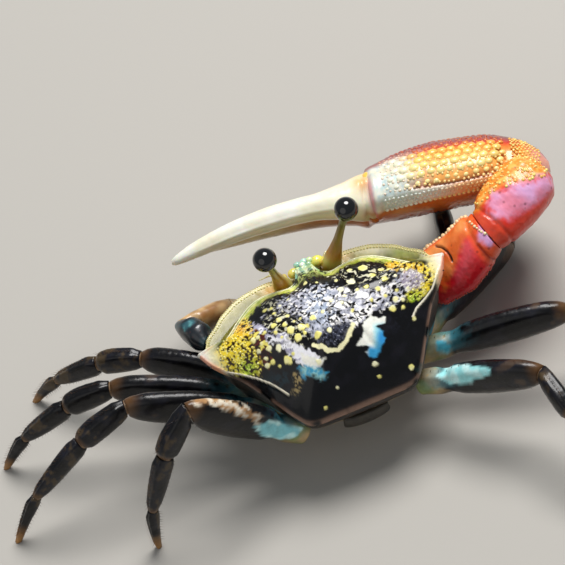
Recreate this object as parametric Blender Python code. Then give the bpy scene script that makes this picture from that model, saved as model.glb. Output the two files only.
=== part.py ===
# Fiddler crab: an adult male that stands with its large right claw folded across its face.
# Lengths are in millimetres here and become metres in add_piece().
# The crab faces +Y with its right side at +X. Heights are measured from the two corner
# spines of the carapace until the last step, which lifts the animal onto the floor, z = 0.
import math
import random

import bmesh
import bpy
from mathutils import Vector

MM = 0.001
GAP = 0.3                    # air between pieces that touch
SPINE_HEIGHT = 15.5          # corner spines above the floor
FLOOR = -SPINE_HEIGHT
CREST_HEIGHT = 3.6           # top of the back above the corner spines
SHELL_EDGE = 0.7             # thickness of the carapace at its rim
SHELL_CEILING = 0.4          # height of the carapace's flat underside at its middle

# Right half of the carapace seen from above, from the front lobe round to the tail:
# x, y and height of the rim.
RIM = [
    (0.0, 7.2, -0.5), (1.0, 6.9, -0.4), (1.25, 5.4, 0.4), (1.7, 4.1, 0.9), (2.6, 3.5, 1.0),
    (4.0, 3.7, 1.0), (5.8, 3.9, 0.9), (7.6, 3.4, 0.8), (9.4, 2.3, 0.5), (10.9, 1.1, 0.3),
    (12.3, 0.3, 0.1), (13.7, 0.3, 0.0), (15.0, 0.5, 0.0), (14.1, -1.6, -0.2),
    (12.9, -3.1, -0.6), (11.6, -4.4, -1.2), (10.4, -6.0, -2.0), (9.0, -8.0, -3.1),
    (7.6, -9.9, -4.2), (6.2, -11.2, -4.8), (3.2, -11.6, -4.6), (0.0, -11.7, -4.5),
]
BACK_CENTRE = Vector((0.0, -3.0, 0.0))
DOME_POWER = 2.4
DOME_RINGS = (0.96, 0.86, 0.7, 0.5, 0.26)
SHELL_UNDER_RINGS = (0.5, 0.96)

# Lower rim of the eye sockets: x and y, from the middle outwards.
SOCKET_SHELF = [
    (0.0, 6.6), (2.5, 7.3), (4.5, 7.7), (7.5, 7.3), (10.3, 5.9), (12.8, 4.0), (13.9, 2.0),
]

EYE_RADIUS = 1.38
EYE_CENTRES = {"right": Vector((6.54, 5.2, 7.92)), "left": Vector((-4.17, 3.0, 7.79))}
STALK_ROOTS = {"right": Vector((2.7, 5.7, -1.6)), "left": Vector((-2.7, 5.5, -1.6))}

# Large claw: the hinge of its movable finger, its heel, and how far its top edge leans back.
CLAW_HINGE = Vector((10.28, 11.0, 0.84))
CLAW_HEEL = Vector((30.1, 7.0, -1.0))
CLAW_LEAN = math.radians(35.0)

# Walking legs: hip, length from hip to knee, then yaw forward of sideways and rise in
# degrees, and the yaw of the part beyond the knee.
SEGMENTS = {
    1: (14.0, 5.4, 6.4, 5.2), 2: (17.5, 5.8, 7.0, 5.6),
    3: (17.6, 6.5, 8.5, 6.8), 4: (15.7, 6.0, 7.6, 6.2),
}
HIPS = {1: (9.0, 1.0, -9.3), 2: (9.3, -1.8, -8.9), 3: (8.5, -4.9, -8.1), 4: (7.2, -8.4, -8.8)}
STANCE = {
    ("right", 1): (52.0, -16.0, 80.0), ("right", 2): (36.2, -12.0, 72.0),
    ("right", 3): (-15.6, 8.0, -18.0), ("right", 4): (-36.6, 15.4, -80.0),
    ("left", 1): (36.0, 8.0, 30.0), ("left", 2): (23.0, 13.0, 16.0),
    ("left", 3): (15.0, 19.0, -4.0), ("left", 4): (2.0, 42.0, -16.0),
}


def reset_scene():
    for leftover in list(bpy.data.objects):
        bpy.data.objects.remove(leftover, do_unlink=True)
    for leftover in list(bpy.data.collections):
        bpy.data.collections.remove(leftover)


def make_collection(name):
    collection = bpy.data.collections.new(name)
    bpy.context.scene.collection.children.link(collection)
    return collection


def make_material(name, color, roughness, metallic=0.0):
    material = bpy.data.materials.new(name)
    material.use_nodes = True
    shader = material.node_tree.nodes["Principled BSDF"]
    shader.inputs["Base Color"].default_value = (*color, 1.0)
    shader.inputs["Roughness"].default_value = roughness
    shader.inputs["Metallic"].default_value = metallic
    return material


reset_scene()
crab = make_collection("fiddler_crab")
cutters = make_collection("cutters")

materials = {
    "shell": make_material("shell", (0.45, 0.47, 0.30), 0.30),
    "underside": make_material("underside", (0.55, 0.47, 0.36), 0.45),
    "eye": make_material("eye", (0.006, 0.006, 0.008), 0.06),
    "stalk": make_material("stalk", (0.42, 0.33, 0.06), 0.35),
    "claw_red": make_material("claw_red", (0.80, 0.12, 0.06), 0.30),
    "claw_orange": make_material("claw_orange", (0.85, 0.36, 0.08), 0.35),
    "finger": make_material("finger", (0.90, 0.84, 0.66), 0.35),
    "leg": make_material("leg", (0.03, 0.03, 0.04), 0.25),
}


def add_piece(name, bm, material, collection=crab):
    bmesh.ops.recalc_face_normals(bm, faces=bm.faces)
    bmesh.ops.scale(bm, vec=(MM, MM, MM), verts=bm.verts)
    mesh = bpy.data.meshes.new(name)
    bm.to_mesh(mesh)
    bm.free()
    mesh.materials.append(materials[material])
    mesh.shade_smooth()
    piece = bpy.data.objects.new(name, mesh)
    collection.objects.link(piece)
    return piece


def rings_to_solid(rings, start_cap=None, end_cap=None):
    # Rings of equal length joined into a tube, each end closed by a fan round a middle point.
    bm = bmesh.new()
    loops = [[bm.verts.new(point) for point in ring] for ring in rings]
    count = len(rings[0])
    for near, far in zip(loops, loops[1:]):
        for i in range(count):
            j = (i + 1) % count
            bm.faces.new((near[i], near[j], far[j], far[i]))
    for loop, middle in ((loops[0], start_cap), (loops[-1], end_cap)):
        centre = middle
        if centre is None:
            centre = sum((vert.co for vert in loop), Vector()) / count
        hub = bm.verts.new(centre)
        for i in range(count):
            bm.faces.new((loop[i], loop[(i + 1) % count], hub))
    return bm


def keep_largest_body(piece):
    # Drops loose scraps and sealed inner walls, which leaves one closed surface.
    bm = bmesh.new()
    bm.from_mesh(piece.data)
    bm.verts.ensure_lookup_table()
    unseen = set(bm.verts)
    bodies = []
    while unseen:
        seed = unseen.pop()
        body = {seed}
        edge_of_search = [seed]
        while edge_of_search:
            vert = edge_of_search.pop()
            for edge in vert.link_edges:
                other = edge.other_vert(vert)
                if other in unseen:
                    unseen.discard(other)
                    body.add(other)
                    edge_of_search.append(other)
        bodies.append(body)
    bodies.sort(key=len)
    scraps = [vert for body in bodies[:-1] for vert in body]
    bmesh.ops.delete(bm, geom=scraps, context="VERTS")
    bm.to_mesh(piece.data)
    bm.free()


def apply_modifiers(piece):
    evaluated = piece.evaluated_get(bpy.context.evaluated_depsgraph_get())
    finished = bpy.data.meshes.new_from_object(evaluated)
    piece.modifiers.clear()
    piece.data = finished
    keep_largest_body(piece)


def swollen_copy(piece, margin):
    # A cutter: the piece with its surface moved outwards by the margin.
    mesh = piece.data.copy()
    normals = [vert.normal.copy() for vert in mesh.vertices]
    for vert, normal in zip(mesh.vertices, normals):
        vert.co += normal * margin * MM
    cutter = bpy.data.objects.new(piece.name + "_clearance", mesh)
    cutter.hide_render = True
    cutter.display_type = "WIRE"
    cutters.objects.link(cutter)
    return cutter


def cut_clear(piece, *neighbours):
    # Trims a piece where it runs into its neighbours, so that it meets them across the gap.
    for neighbour in neighbours:
        cut = piece.modifiers.new("clear_of_" + neighbour.name, "BOOLEAN")
        cut.operation = "DIFFERENCE"
        cut.solver = "EXACT"
        cut.object = neighbour
    bpy.context.view_layer.update()
    apply_modifiers(piece)


def fuse_forms(piece, forms):
    # One union of a piece with all the small forms that grow from it.
    group = make_collection(piece.name + "_forms")
    for index, form in enumerate(forms):
        add_piece(f"{piece.name}_form_{index}", form, piece.data.materials[0].name, group)
    union = piece.modifiers.new("forms", "BOOLEAN")
    union.operation = "UNION"
    union.operand_type = "COLLECTION"
    union.collection = group
    union.solver = FORM_SOLVER
    bpy.context.view_layer.update()
    apply_modifiers(piece)
    for form in list(group.objects):
        bpy.data.objects.remove(form, do_unlink=True)
    bpy.data.collections.remove(group)


def smoothstep(value):
    value = min(max(value, 0.0), 1.0)
    return value * value * (3.0 - 2.0 * value)


def powered(value, power):
    # A power that keeps the sign, which squares or pinches a round section.
    return math.copysign(abs(value) ** power, value)


def interpolate(points, at):
    # Straight-line reading of y from a list of (x, y) points.
    for (x0, y0), (x1, y1) in zip(points, points[1:]):
        if at <= x1:
            return y0 + (y1 - y0) * (at - x0) / (x1 - x0)
    return points[-1][1]


def whole_rim():
    right = [Vector(point) for point in RIM]
    left = [Vector((-point.x, point.y, point.z)) for point in reversed(right[1:-1])]
    return right + left


def dome_ring(rim, scale, base_drop, crest):
    # The rim drawn in towards the middle of the back and lifted along the dome.
    lift = 1.0 - scale ** DOME_POWER
    ring = []
    for point in rim:
        flat = BACK_CENTRE + (point - BACK_CENTRE) * scale
        edge = point.z - base_drop
        ring.append(Vector((flat.x, flat.y, edge + (crest - edge) * lift)))
    return ring


def build_carapace(rim):
    under = [dome_ring(rim, scale, SHELL_EDGE, SHELL_CEILING) for scale in SHELL_UNDER_RINGS]
    edge = [Vector((point.x, point.y, point.z - SHELL_EDGE / 2)) for point in rim]
    over = [dome_ring(rim, scale, 0.0, CREST_HEIGHT) for scale in DOME_RINGS]
    start = Vector((BACK_CENTRE.x, BACK_CENTRE.y, SHELL_CEILING))
    end = Vector((BACK_CENTRE.x, BACK_CENTRE.y, CREST_HEIGHT))
    return add_piece("carapace", rings_to_solid(under + [edge] + over, start, end), "shell")


# Rings of the body below the carapace, from the top down: how far each is drawn in at the
# sides, its depth between the rim and the underside, and for the front its width,
# its reach beyond the socket shelf and its height.
BODY_LEVELS = [
    (0.985, 0.06, 0.93, -3.4, -0.6),
    (0.98, 0.14, 0.91, -2.6, -2.3),
    (0.97, 0.22, 0.93, -0.7, -1.9),
    (0.96, 0.26, 0.94, 0.0, -1.7),
    (0.94, 0.34, 0.94, 0.0, -2.5),
    (0.90, 0.52, 0.87, -0.9, -3.6),
    (0.84, 0.76, 0.74, -1.8, -6.4),
    (0.74, 0.94, 0.60, -3.0, -8.6),
    (0.55, 1.0, 0.44, -4.6, -9.4),
]
UNDERSIDE = -9.6
REAR_DRAW_IN = 1.2           # how far the rear wall leans forward at its foot
REAR_BLEND = (8.0, 3.0)      # where behind the middle the lean begins, and over what depth
FRONT_BLEND = (3.5, 4.5)     # where behind the middle the flank turns into the front, and over what depth
ROOF_RINGS = (0.5, 0.9)


def body_ring(rim, level):
    side_scale, depth, front_width, reach, front_height = level
    ring = []
    for point in rim:
        front = smoothstep((point.y + FRONT_BLEND[0]) / FRONT_BLEND[1])
        top = point.z - SHELL_EDGE - GAP
        side = BACK_CENTRE + (point - BACK_CENTRE) * side_scale
        side.y += REAR_DRAW_IN * depth * smoothstep((-point.y - REAR_BLEND[0]) / REAR_BLEND[1])
        side.z = top + (UNDERSIDE - top) * depth
        x = point.x * front_width
        fore = Vector((x, interpolate(SOCKET_SHELF, abs(x)) + reach, front_height))
        ring.append(side.lerp(fore, front))
    return ring


def build_underbody(rim):
    ceiling = SHELL_CEILING - GAP
    roof = [dome_ring(rim, scale, SHELL_EDGE + GAP, ceiling) for scale in ROOF_RINGS]
    walls = [body_ring(rim, level) for level in BODY_LEVELS]
    start = Vector((BACK_CENTRE.x, BACK_CENTRE.y, ceiling))
    end = Vector((BACK_CENTRE.x, BACK_CENTRE.y, UNDERSIDE))
    solid = rings_to_solid(roof + walls, start, end)
    return add_piece("underbody", solid, "underside")


SHELF_BEAD = (0.32, 0.28)            # radius and height of the beads along the socket shelf
SHELF_BEADS = 14                     # on each side
SHELF_REACH = (3.6, 13.2)            # from the middle outwards, before the front is drawn in
SHELF_HEIGHT = -2.15
SHELF_STEP = 0.2                     # over which the shelf's slope is read
BEAD_SIZES = (0.85, 1.1)             # least and greatest size of a bead in a row
BEAD_SHOULDER = 0.7


def shelf_beads(chance):
    forms = []
    narrowing = BODY_LEVELS[3][2]
    near, far = SHELF_REACH
    for mirror in (-1.0, 1.0):
        for index in range(SHELF_BEADS):
            across = near + (far - near) * index / (SHELF_BEADS - 1)
            forward = interpolate(SOCKET_SHELF, across)
            slope = (interpolate(SOCKET_SHELF, across + SHELF_STEP)
                     - interpolate(SOCKET_SHELF, across - SHELF_STEP))
            outward = Vector((mirror * -slope, 2.0 * SHELF_STEP * narrowing, 0.0)).normalized()
            place = Vector((mirror * across * narrowing, forward, SHELF_HEIGHT))
            size = chance.uniform(*BEAD_SIZES)
            radius, height = (value * size for value in SHELF_BEAD)
            forms.append(small_form(place, outward, radius, height, BEAD_SHOULDER))
    return forms


LIMB_POWER = 0.85            # how far a limb's section is squared
ROUND = 1.0


def ring_round(centre, up, side, half_up, half_side, sides, power=LIMB_POWER):
    ring = []
    for i in range(sides):
        angle = 2.0 * math.pi * i / sides
        rise, reach = powered(math.sin(angle), power), powered(math.cos(angle), power)
        ring.append(centre + up * rise * half_up + side * reach * half_side)
    return ring


FORM_ROOT = 0.45             # depth of a bead's or tooth's root under the surface
FORM_SIDES = 6
FORM_WAIST = 0.55            # height of its shoulder, as a share of the whole
FORM_SOLVER = "MANIFOLD"


def small_form(place, outward, radius, height, shoulder):
    # A bead or, with a narrow shoulder, a tooth: a low cone with its root under the surface.
    side = outward.orthogonal().normalized()
    up = outward.cross(side)
    foot = place - outward * FORM_ROOT
    waist = place + outward * height * FORM_WAIST
    narrow = radius * shoulder
    rings = [
        ring_round(foot, up, side, radius, radius, FORM_SIDES, ROUND),
        ring_round(waist, up, side, narrow, narrow, FORM_SIDES, ROUND),
    ]
    return rings_to_solid(rings, foot, place + outward * height)


RING_SPACING = 0.22          # least distance between neighbouring rings at a bent joint


def slide_to_plane(ring, axis, plane_point, plane_normal):
    fall = axis.dot(plane_normal)
    return [point + axis * ((plane_point - point).dot(plane_normal) / fall) for point in ring]


def hold_behind(ring, axis, plane_point, plane_normal, margin):
    # Moves the points that come too near a joint's plane back along the axis.
    held = []
    for point in ring:
        excess = margin - (point - plane_point).dot(plane_normal)
        held.append(point + axis * (max(excess, 0.0) / axis.dot(plane_normal)))
    return held


LIMB_SIDES = 10


def limb_bones(name, joints, segments, up_hint, material, sides=LIMB_SIDES, floor_tip=False):
    # One solid for each segment between joints. Neighbours meet in the plane that halves
    # their bend, with the gap between them. A segment is its name and a list of
    # (place from 0 to 1, half height, half depth, lift off the axis).
    pieces = []
    axes = [(b - a).normalized() for a, b in zip(joints, joints[1:])]
    for index, (segment, stations) in enumerate(segments):
        start, end = joints[index], joints[index + 1]
        axis = axes[index]
        side = axis.cross(up_hint).normalized()
        up = side.cross(axis).normalized()
        rings = []
        for place, half_up, half_side, lift in stations:
            centre = start.lerp(end, place) + up * lift
            rings.append(ring_round(centre, up, side, half_up, half_side, sides))
        if index > 0:
            normal = (axes[index - 1] + axis).normalized()
            face = start + normal * GAP / 2
            rings[0] = slide_to_plane(rings[0], axis, face, normal)
            for step in (1, 2):
                rings[step] = hold_behind(rings[step], axis, face, normal, step * RING_SPACING)
        if index < len(segments) - 1:
            normal = (axis + axes[index + 1]).normalized()
            face = end - normal * GAP / 2
            rings[-1] = slide_to_plane(rings[-1], axis, face, normal)
            for step in (1, 2):
                margin = step * RING_SPACING
                rings[-1 - step] = hold_behind(rings[-1 - step], -axis, face, -normal, margin)
        elif floor_tip:
            rings[-1] = slide_to_plane(rings[-1], axis, Vector((0, 0, FLOOR)), Vector((0, 0, 1)))
        pieces.append(add_piece(f"{name}_{segment}", rings_to_solid(rings), material))
    return pieces


# Walking-leg segments: place along the segment, half height, half depth, lift off the axis.
MERUS = [
    (0.0, 1.5, 1.3, 0.0), (0.14, 1.7, 1.25, 0.0), (0.24, 1.5, 1.05, 0.0), (0.34, 2.15, 1.15, 0.1),
    (0.58, 2.45, 1.2, 0.15), (0.84, 2.1, 1.15, 0.1), (0.95, 1.6, 1.05, 0.0), (1.0, 1.1, 0.85, -0.1),
]
CARPUS = [
    (0.0, 1.1, 0.85, 0.0), (0.18, 1.45, 1.0, 0.15), (0.6, 1.65, 1.1, 0.2), (0.9, 1.5, 1.0, 0.05),
    (1.0, 1.1, 0.8, 0.0),
]
PROPODUS = [
    (0.0, 1.1, 0.8, 0.0), (0.15, 1.35, 0.85, 0.0), (0.5, 1.25, 0.75, 0.0), (0.88, 0.9, 0.6, 0.0),
    (1.0, 0.65, 0.5, 0.0),
]
DACTYL = [
    (0.0, 0.65, 0.5, 0.0), (0.15, 0.8, 0.55, 0.1), (0.5, 0.62, 0.45, 0.15), (0.85, 0.42, 0.36, 0.05),
    (1.0, 0.34, 0.32, 0.0),
]
LEG_SEGMENTS = [("merus", MERUS), ("carpus", CARPUS), ("propodus", PROPODUS), ("dactyl", DACTYL)]
BEND_STEPS = (-12.0, 6.0, 26.0)      # slope of carpus, propodus and dactyl beyond the mean
STEEPEST = 88.0
SLOPE_RANGE = (-10.0, 80.0)          # searched for the mean slope, by halving this often
SLOPE_TRIES = 40


def heading(mirror, yaw, rise):
    yaw, rise = math.radians(yaw), math.radians(rise)
    reach = math.cos(rise)
    return Vector((mirror * math.cos(yaw) * reach, math.sin(yaw) * reach, math.sin(rise)))


def leg_joints(side, pair):
    # Knee from the stance, then the slope of the outer segments that sets the foot on the floor.
    mirror = 1.0 if side == "right" else -1.0
    yaw, rise, outer_yaw = STANCE[(side, pair)]
    lengths = SEGMENTS[pair]
    hip = Vector(HIPS[pair])
    hip.x *= mirror
    knee = hip + heading(mirror, yaw, rise) * lengths[0]
    drop = knee.z - FLOOR
    low, high = SLOPE_RANGE
    for _ in range(SLOPE_TRIES):
        slope = (low + high) / 2
        slopes = [min(slope + step, STEEPEST) for step in BEND_STEPS]
        fall = sum(reach * math.sin(math.radians(each)) for reach, each in zip(lengths[1:], slopes))
        low, high = (slope, high) if fall < drop else (low, slope)
    joints = [hip, knee]
    for length, each in zip(lengths[1:], slopes):
        joints.append(joints[-1] + heading(mirror, outer_yaw, -each) * length)
    return joints


def build_leg(side, pair, body_clearance):
    joints = leg_joints(side, pair)
    name = f"leg_{side}_{pair}"
    pieces = limb_bones(name, joints, LEG_SEGMENTS, Vector((0, 0, 1)), "leg", floor_tip=True)
    cut_clear(pieces[0], body_clearance)


def claw_frame():
    along = (CLAW_HINGE - CLAW_HEEL).normalized()
    rise = Vector((0.0, -math.sin(CLAW_LEAN), math.cos(CLAW_LEAN)))
    rise = (rise - along * rise.dot(along)).normalized()
    outward = rise.cross(along).normalized()
    if outward.y < 0:
        outward = -outward
    return along, rise, outward


def claw_point(u, h, n):
    along, rise, outward = claw_frame()
    return CLAW_HINGE + along * u + rise * h + outward * n


CLAW_POWERS = (0.9, 0.85)    # how far a claw's section is squared, in height and in depth


def on_claw_section(u, bottom, top, inner, outer, angle):
    # A point of a section across the claw, which is flat inside and swollen outside.
    rise, reach = powered(math.sin(angle), CLAW_POWERS[0]), powered(math.cos(angle), CLAW_POWERS[1])
    height = (top + bottom) / 2 + (top - bottom) / 2 * rise
    return claw_point(u, height, finger_bow(u) + (outer if reach > 0 else inner) * reach)


# Palm with its fixed finger: distance from the hinge, lowest and highest point of the
# section, then its swell to the inside and to the outside.
PALM = [
    (-20.4, -3.6, -0.2, 0.6, 0.8), (-19.4, -6.0, 1.9, 1.5, 2.4), (-17.0, -9.0, 3.7, 1.8, 4.1),
    (-13.0, -11.2, 4.6, 2.0, 5.2), (-8.0, -12.0, 4.9, 2.1, 5.4), (-4.0, -11.8, 4.5, 2.2, 4.9),
    (-1.2, -11.3, 3.9, 2.3, 4.2), (0.0, -11.1, 3.5, 2.3, 3.8), (0.7, -11.0, -3.9, 2.4, 3.0),
    (2.2, -10.7, -4.9, 2.0, 2.4), (6.0, -10.4, -5.9, 1.6, 1.7), (11.0, -10.0, -6.5, 1.4, 1.4),
    (15.5, -8.9, -6.2, 1.1, 1.0), (18.5, -7.4, -5.4, 0.8, 0.7), (20.4, -6.1, -5.0, 0.4, 0.35),
]
# Movable finger, in the same terms.
FINGER = [
    (0.1, -3.0, 3.1, 2.3, 3.0), (1.2, -3.4, 3.4, 2.4, 2.8), (3.2, -3.2, 3.3, 2.0, 2.1),
    (7.0, -2.9, 2.7, 1.5, 1.4), (12.0, -3.2, 1.6, 1.4, 1.3), (17.0, -4.0, -0.2, 1.2, 1.1),
    (20.6, -4.7, -1.9, 0.95, 0.85), (22.8, -4.9, -3.2, 0.6, 0.5), (23.4, -4.7, -3.8, 0.3, 0.25),
]


FINGER_BOW = (0.11, 0.0092)


def finger_bow(u):
    # Both fingers curve gently towards the face.
    return FINGER_BOW[0] * u - FINGER_BOW[1] * u * u if u > 0 else 0.0


SURFACE_STEP = 0.05          # over which the surface's slope is read


def claw_surface(sections, u, angle):
    # A point on a claw half and the direction straight out of it, at an angle of 0 for the
    # outer face and 90 degrees for the top edge.
    def at(place, turn):
        section = [
            interpolate([(station[0], station[column]) for station in sections], place)
            for column in (1, 2, 3, 4)
        ]
        return on_claw_section(place, *section, turn)

    step = SURFACE_STEP
    turn = math.radians(angle)
    point = at(u, turn)
    across = at(u, turn + step) - at(u, turn - step)
    out = across.cross(at(u + step, turn) - at(u - step, turn))
    centre = at(u, math.pi / 2).lerp(at(u, -math.pi / 2), 0.5)
    if out.dot(point - centre) < 0:
        out = -out
    return point, out.normalized()


def build_claw_half(name, sections, sides, material):
    turns = [2.0 * math.pi * i / sides for i in range(sides)]
    rings = [[on_claw_section(*section, turn) for turn in turns] for section in sections]
    return add_piece(name, rings_to_solid(rings), material)


# Beads of the palm: rows from low on the outer face up and over the top edge. Size of a bead
# in the middle of the face and at the edge of the field, then their distance along a row.
PALM_BEAD = (0.62, 0.36)
PALM_BEAD_HEIGHT = 0.55      # of the bead's radius
PALM_BEAD_SIZES = (0.88, 1.08)
PALM_BEAD_SHOULDER = 0.75
PALM_FIELD = (-15.8, -2.2)   # how far the field reaches along the palm
FIELD_ANGLES = (15.0, 86.0)  # middle and half width of the field round the palm
FIELD_FORWARD = 0.1          # how far its largest beads lie in front of its middle, in half lengths
STRAY = (0.2, 2.0)           # how far a bead strays from its row, in millimetres and degrees
PALM_ROWS = (-58, -44, -30, -17, -5, 7, 19, 31, 44, 57, 71, 86, 101)
BEAD_SPACING = 1.62
MARGIN_BEAD = (0.34, 128, 1.2)       # radius, angle and spacing of the row along the inner margin
MARGIN_BEAD_HEIGHT = 0.7             # of the bead's radius

# Teeth of the cutting edges: radius and height, reach from the first to the last, how many,
# and which ones stand out.
TOOTH = (0.34, 0.48)
FINGER_TEETH = (3.2, 18.8, 12, (3, 8))
PALM_TEETH = (3.6, 17.0, 11, (4, 8))
BIG_TOOTH = 1.5
TOOTH_SIZES = (0.8, 1.1)
TOOTH_SHOULDER = 0.5
TOP_EDGE, LOWER_EDGE = 90.0, -90.0
BEAD_SEED = 7


def palm_beads(chance):
    forms = []
    first, last = PALM_FIELD
    for row, angle in enumerate(PALM_ROWS):
        u = first + BEAD_SPACING * (0.5 if row % 2 else 0.0)
        while u < last:
            across = abs(angle - FIELD_ANGLES[0]) / FIELD_ANGLES[1]
            along = abs(2.0 * (u - first) / (last - first) - 1.0 - FIELD_FORWARD)
            edge = smoothstep(max(across, along))
            radius = PALM_BEAD[0] + (PALM_BEAD[1] - PALM_BEAD[0]) * edge
            radius *= chance.uniform(*PALM_BEAD_SIZES)
            place, out = claw_surface(PALM, u + chance.uniform(-STRAY[0], STRAY[0]),
                                      angle + chance.uniform(-STRAY[1], STRAY[1]))
            height = radius * PALM_BEAD_HEIGHT
            forms.append(small_form(place, out, radius, height, PALM_BEAD_SHOULDER))
            u += BEAD_SPACING
    radius, angle, spacing = MARGIN_BEAD
    for index in range(int((last - first) / spacing)):
        place, out = claw_surface(PALM, first + spacing * index, angle)
        size = radius * chance.uniform(*BEAD_SIZES)
        forms.append(small_form(place, out, size, size * MARGIN_BEAD_HEIGHT, BEAD_SHOULDER))
    return forms


def cutting_teeth(sections, row, angle, chance):
    first, last, count, big = row
    forms = []
    for index in range(count):
        size = chance.uniform(*TOOTH_SIZES) * (BIG_TOOTH if index in big else 1.0)
        u = first + (last - first) * index / (count - 1)
        place, out = claw_surface(sections, u, angle)
        forms.append(small_form(place, out, TOOTH[0] * size, TOOTH[1] * size, TOOTH_SHOULDER))
    return forms


ARM_MERUS = [
    (0.0, 1.6, 1.5, 0.0), (0.15, 1.8, 1.5, -0.2), (0.38, 3.2, 1.5, -1.5), (0.62, 3.4, 2.0, -1.5),
    (0.86, 3.2, 2.5, -0.7), (1.0, 2.6, 2.3, -0.2),
]
ARM_CARPUS = [
    (0.0, 2.6, 2.3, -0.2), (0.2, 3.3, 2.9, -0.1), (0.55, 3.6, 3.2, 0.1), (0.86, 3.1, 2.9, 0.0),
    (1.0, 1.8, 1.8, 0.0),
]
ARM_JOINTS = [Vector((8.6, 4.0, -6.7)), Vector((20.5, 1.6, -0.5)), Vector((28.9, 5.3, 1.2))]
ARM_UP = Vector((-0.42, 0.87, 0.34))
ARM_SIDES = 14
PALM_SIDES = 20
FINGER_SIDES = 16
CREST_BEAD = (0.4, 0.45)             # radius and height of the beads along the arm's crest
CREST_PLACES = (0.44, 0.51, 0.58, 0.65, 0.72, 0.79, 0.86, 0.92)


def arm_crest(chance):
    start, end = ARM_JOINTS[0], ARM_JOINTS[1]
    axis = (end - start).normalized()
    up = axis.cross(ARM_UP).cross(axis).normalized()
    forms = []
    for place in CREST_PLACES:
        half_up = interpolate([(station[0], station[1]) for station in ARM_MERUS], place)
        lift = interpolate([(station[0], station[3]) for station in ARM_MERUS], place)
        top = start.lerp(end, place) + up * (half_up + lift)
        size = chance.uniform(*BEAD_SIZES)
        forms.append(small_form(top, up, CREST_BEAD[0] * size, CREST_BEAD[1] * size, BEAD_SHOULDER))
    return forms


def build_large_claw(body_clearance):
    palm = build_claw_half("claw_large_palm", PALM, PALM_SIDES, "claw_orange")
    palm_clearance = swollen_copy(palm, GAP)
    finger = build_claw_half("claw_large_finger", FINGER, FINGER_SIDES, "finger")
    cut_clear(finger, palm_clearance)
    segments = [("merus", ARM_MERUS), ("carpus", ARM_CARPUS)]
    merus, carpus = limb_bones("claw_large", ARM_JOINTS, segments, ARM_UP, "claw_red", ARM_SIDES)
    cut_clear(merus, body_clearance)
    cut_clear(carpus, palm_clearance)
    chance = random.Random(BEAD_SEED)
    fuse_forms(palm, palm_beads(chance) + cutting_teeth(PALM, PALM_TEETH, TOP_EDGE, chance))
    fuse_forms(finger, cutting_teeth(FINGER, FINGER_TEETH, LOWER_EDGE, chance))
    fuse_forms(merus, arm_crest(chance))


SMALL_JOINTS = [
    Vector((-6.4, 4.4, -7.4)), Vector((-12.9, 5.6, -4.9)), Vector((-14.3, 9.4, -5.5)),
    Vector((-9.0, 11.2, -7.6)), Vector((-5.0, 11.0, -9.6)),
]
SMALL_MERUS = [
    (0.0, 1.4, 1.3, 0.0), (0.3, 1.4, 1.2, 0.0), (0.55, 1.75, 1.4, 0.0), (0.84, 1.5, 1.3, 0.0),
    (1.0, 0.95, 0.9, 0.0),
]
SMALL_CARPUS = [(0.0, 0.95, 0.9, 0.0), (0.33, 1.75, 1.5, 0.2), (0.75, 1.7, 1.4, 0.2), (1.0, 1.1, 1.0, 0.0)]
SMALL_PALM = [(0.0, 1.1, 1.0, 0.0), (0.25, 1.6, 1.1, 0.0), (0.7, 1.7, 1.1, 0.0), (1.0, 1.4, 0.9, 0.0)]
SMALL_FINGER = [
    (0.0, 0.75, 0.85, 0.6), (0.3, 0.7, 0.7, 0.55), (0.75, 0.5, 0.5, 0.35), (1.0, 0.3, 0.35, 0.2),
]
SMALL_SEGMENTS = [
    ("merus", SMALL_MERUS), ("carpus", SMALL_CARPUS), ("palm", SMALL_PALM), ("finger", SMALL_FINGER),
]
# The fixed finger runs along under the movable one: place, half height, half depth, drop.
SMALL_FIXED_FINGER = [
    (-0.25, 0.55, 0.7, 0.75), (0.1, 0.5, 0.65, 1.05), (0.55, 0.4, 0.5, 1.1), (1.0, 0.3, 0.35, 0.85),
]


def build_small_claw(body_clearance):
    upward = Vector((0, 0, 1))
    pieces = limb_bones("claw_small", SMALL_JOINTS, SMALL_SEGMENTS, upward, "claw_orange")
    cut_clear(pieces[0], body_clearance)
    start, end = SMALL_JOINTS[3], SMALL_JOINTS[4]
    axis = (end - start).normalized()
    side = axis.cross(upward).normalized()
    up = side.cross(axis)
    rings = [
        ring_round(start.lerp(end, place) - up * drop, up, side, half_up, half_side, LIMB_SIDES)
        for place, half_up, half_side, drop in SMALL_FIXED_FINGER
    ]
    fuse_forms(pieces[2], [rings_to_solid(rings)])


# Eye stalk: place from root to eye and radius there.
STALK = [(0.0, 1.0), (0.22, 0.98), (0.4, 0.75), (0.62, 0.48), (0.9, 0.42), (1.0, 0.5)]
STALK_SINK = 0.35            # how far the stalk's end reaches towards the eye's middle
STALK_SIDES = 12
EYE_SUBDIVISIONS = 2


def build_eye(side, body_clearance, shell_clearance):
    centre = EYE_CENTRES[side]
    root = STALK_ROOTS[side]
    axis = (centre - root).normalized()
    reference = axis.cross(Vector((0, 1, 0))).normalized()
    up = reference.cross(axis)
    top = centre - axis * (EYE_RADIUS - STALK_SINK)
    rings = [
        ring_round(root.lerp(top, place), up, reference, radius, radius, STALK_SIDES, ROUND)
        for place, radius in STALK
    ]
    stalk = add_piece(f"eyestalk_{side}", rings_to_solid(rings), "stalk")
    bm = bmesh.new()
    bmesh.ops.create_icosphere(bm, subdivisions=EYE_SUBDIVISIONS, radius=EYE_RADIUS)
    bmesh.ops.translate(bm, verts=bm.verts, vec=centre)
    eye = add_piece(f"eye_{side}", bm, "eye")
    cut_clear(stalk, body_clearance, shell_clearance, swollen_copy(eye, GAP))


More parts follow.
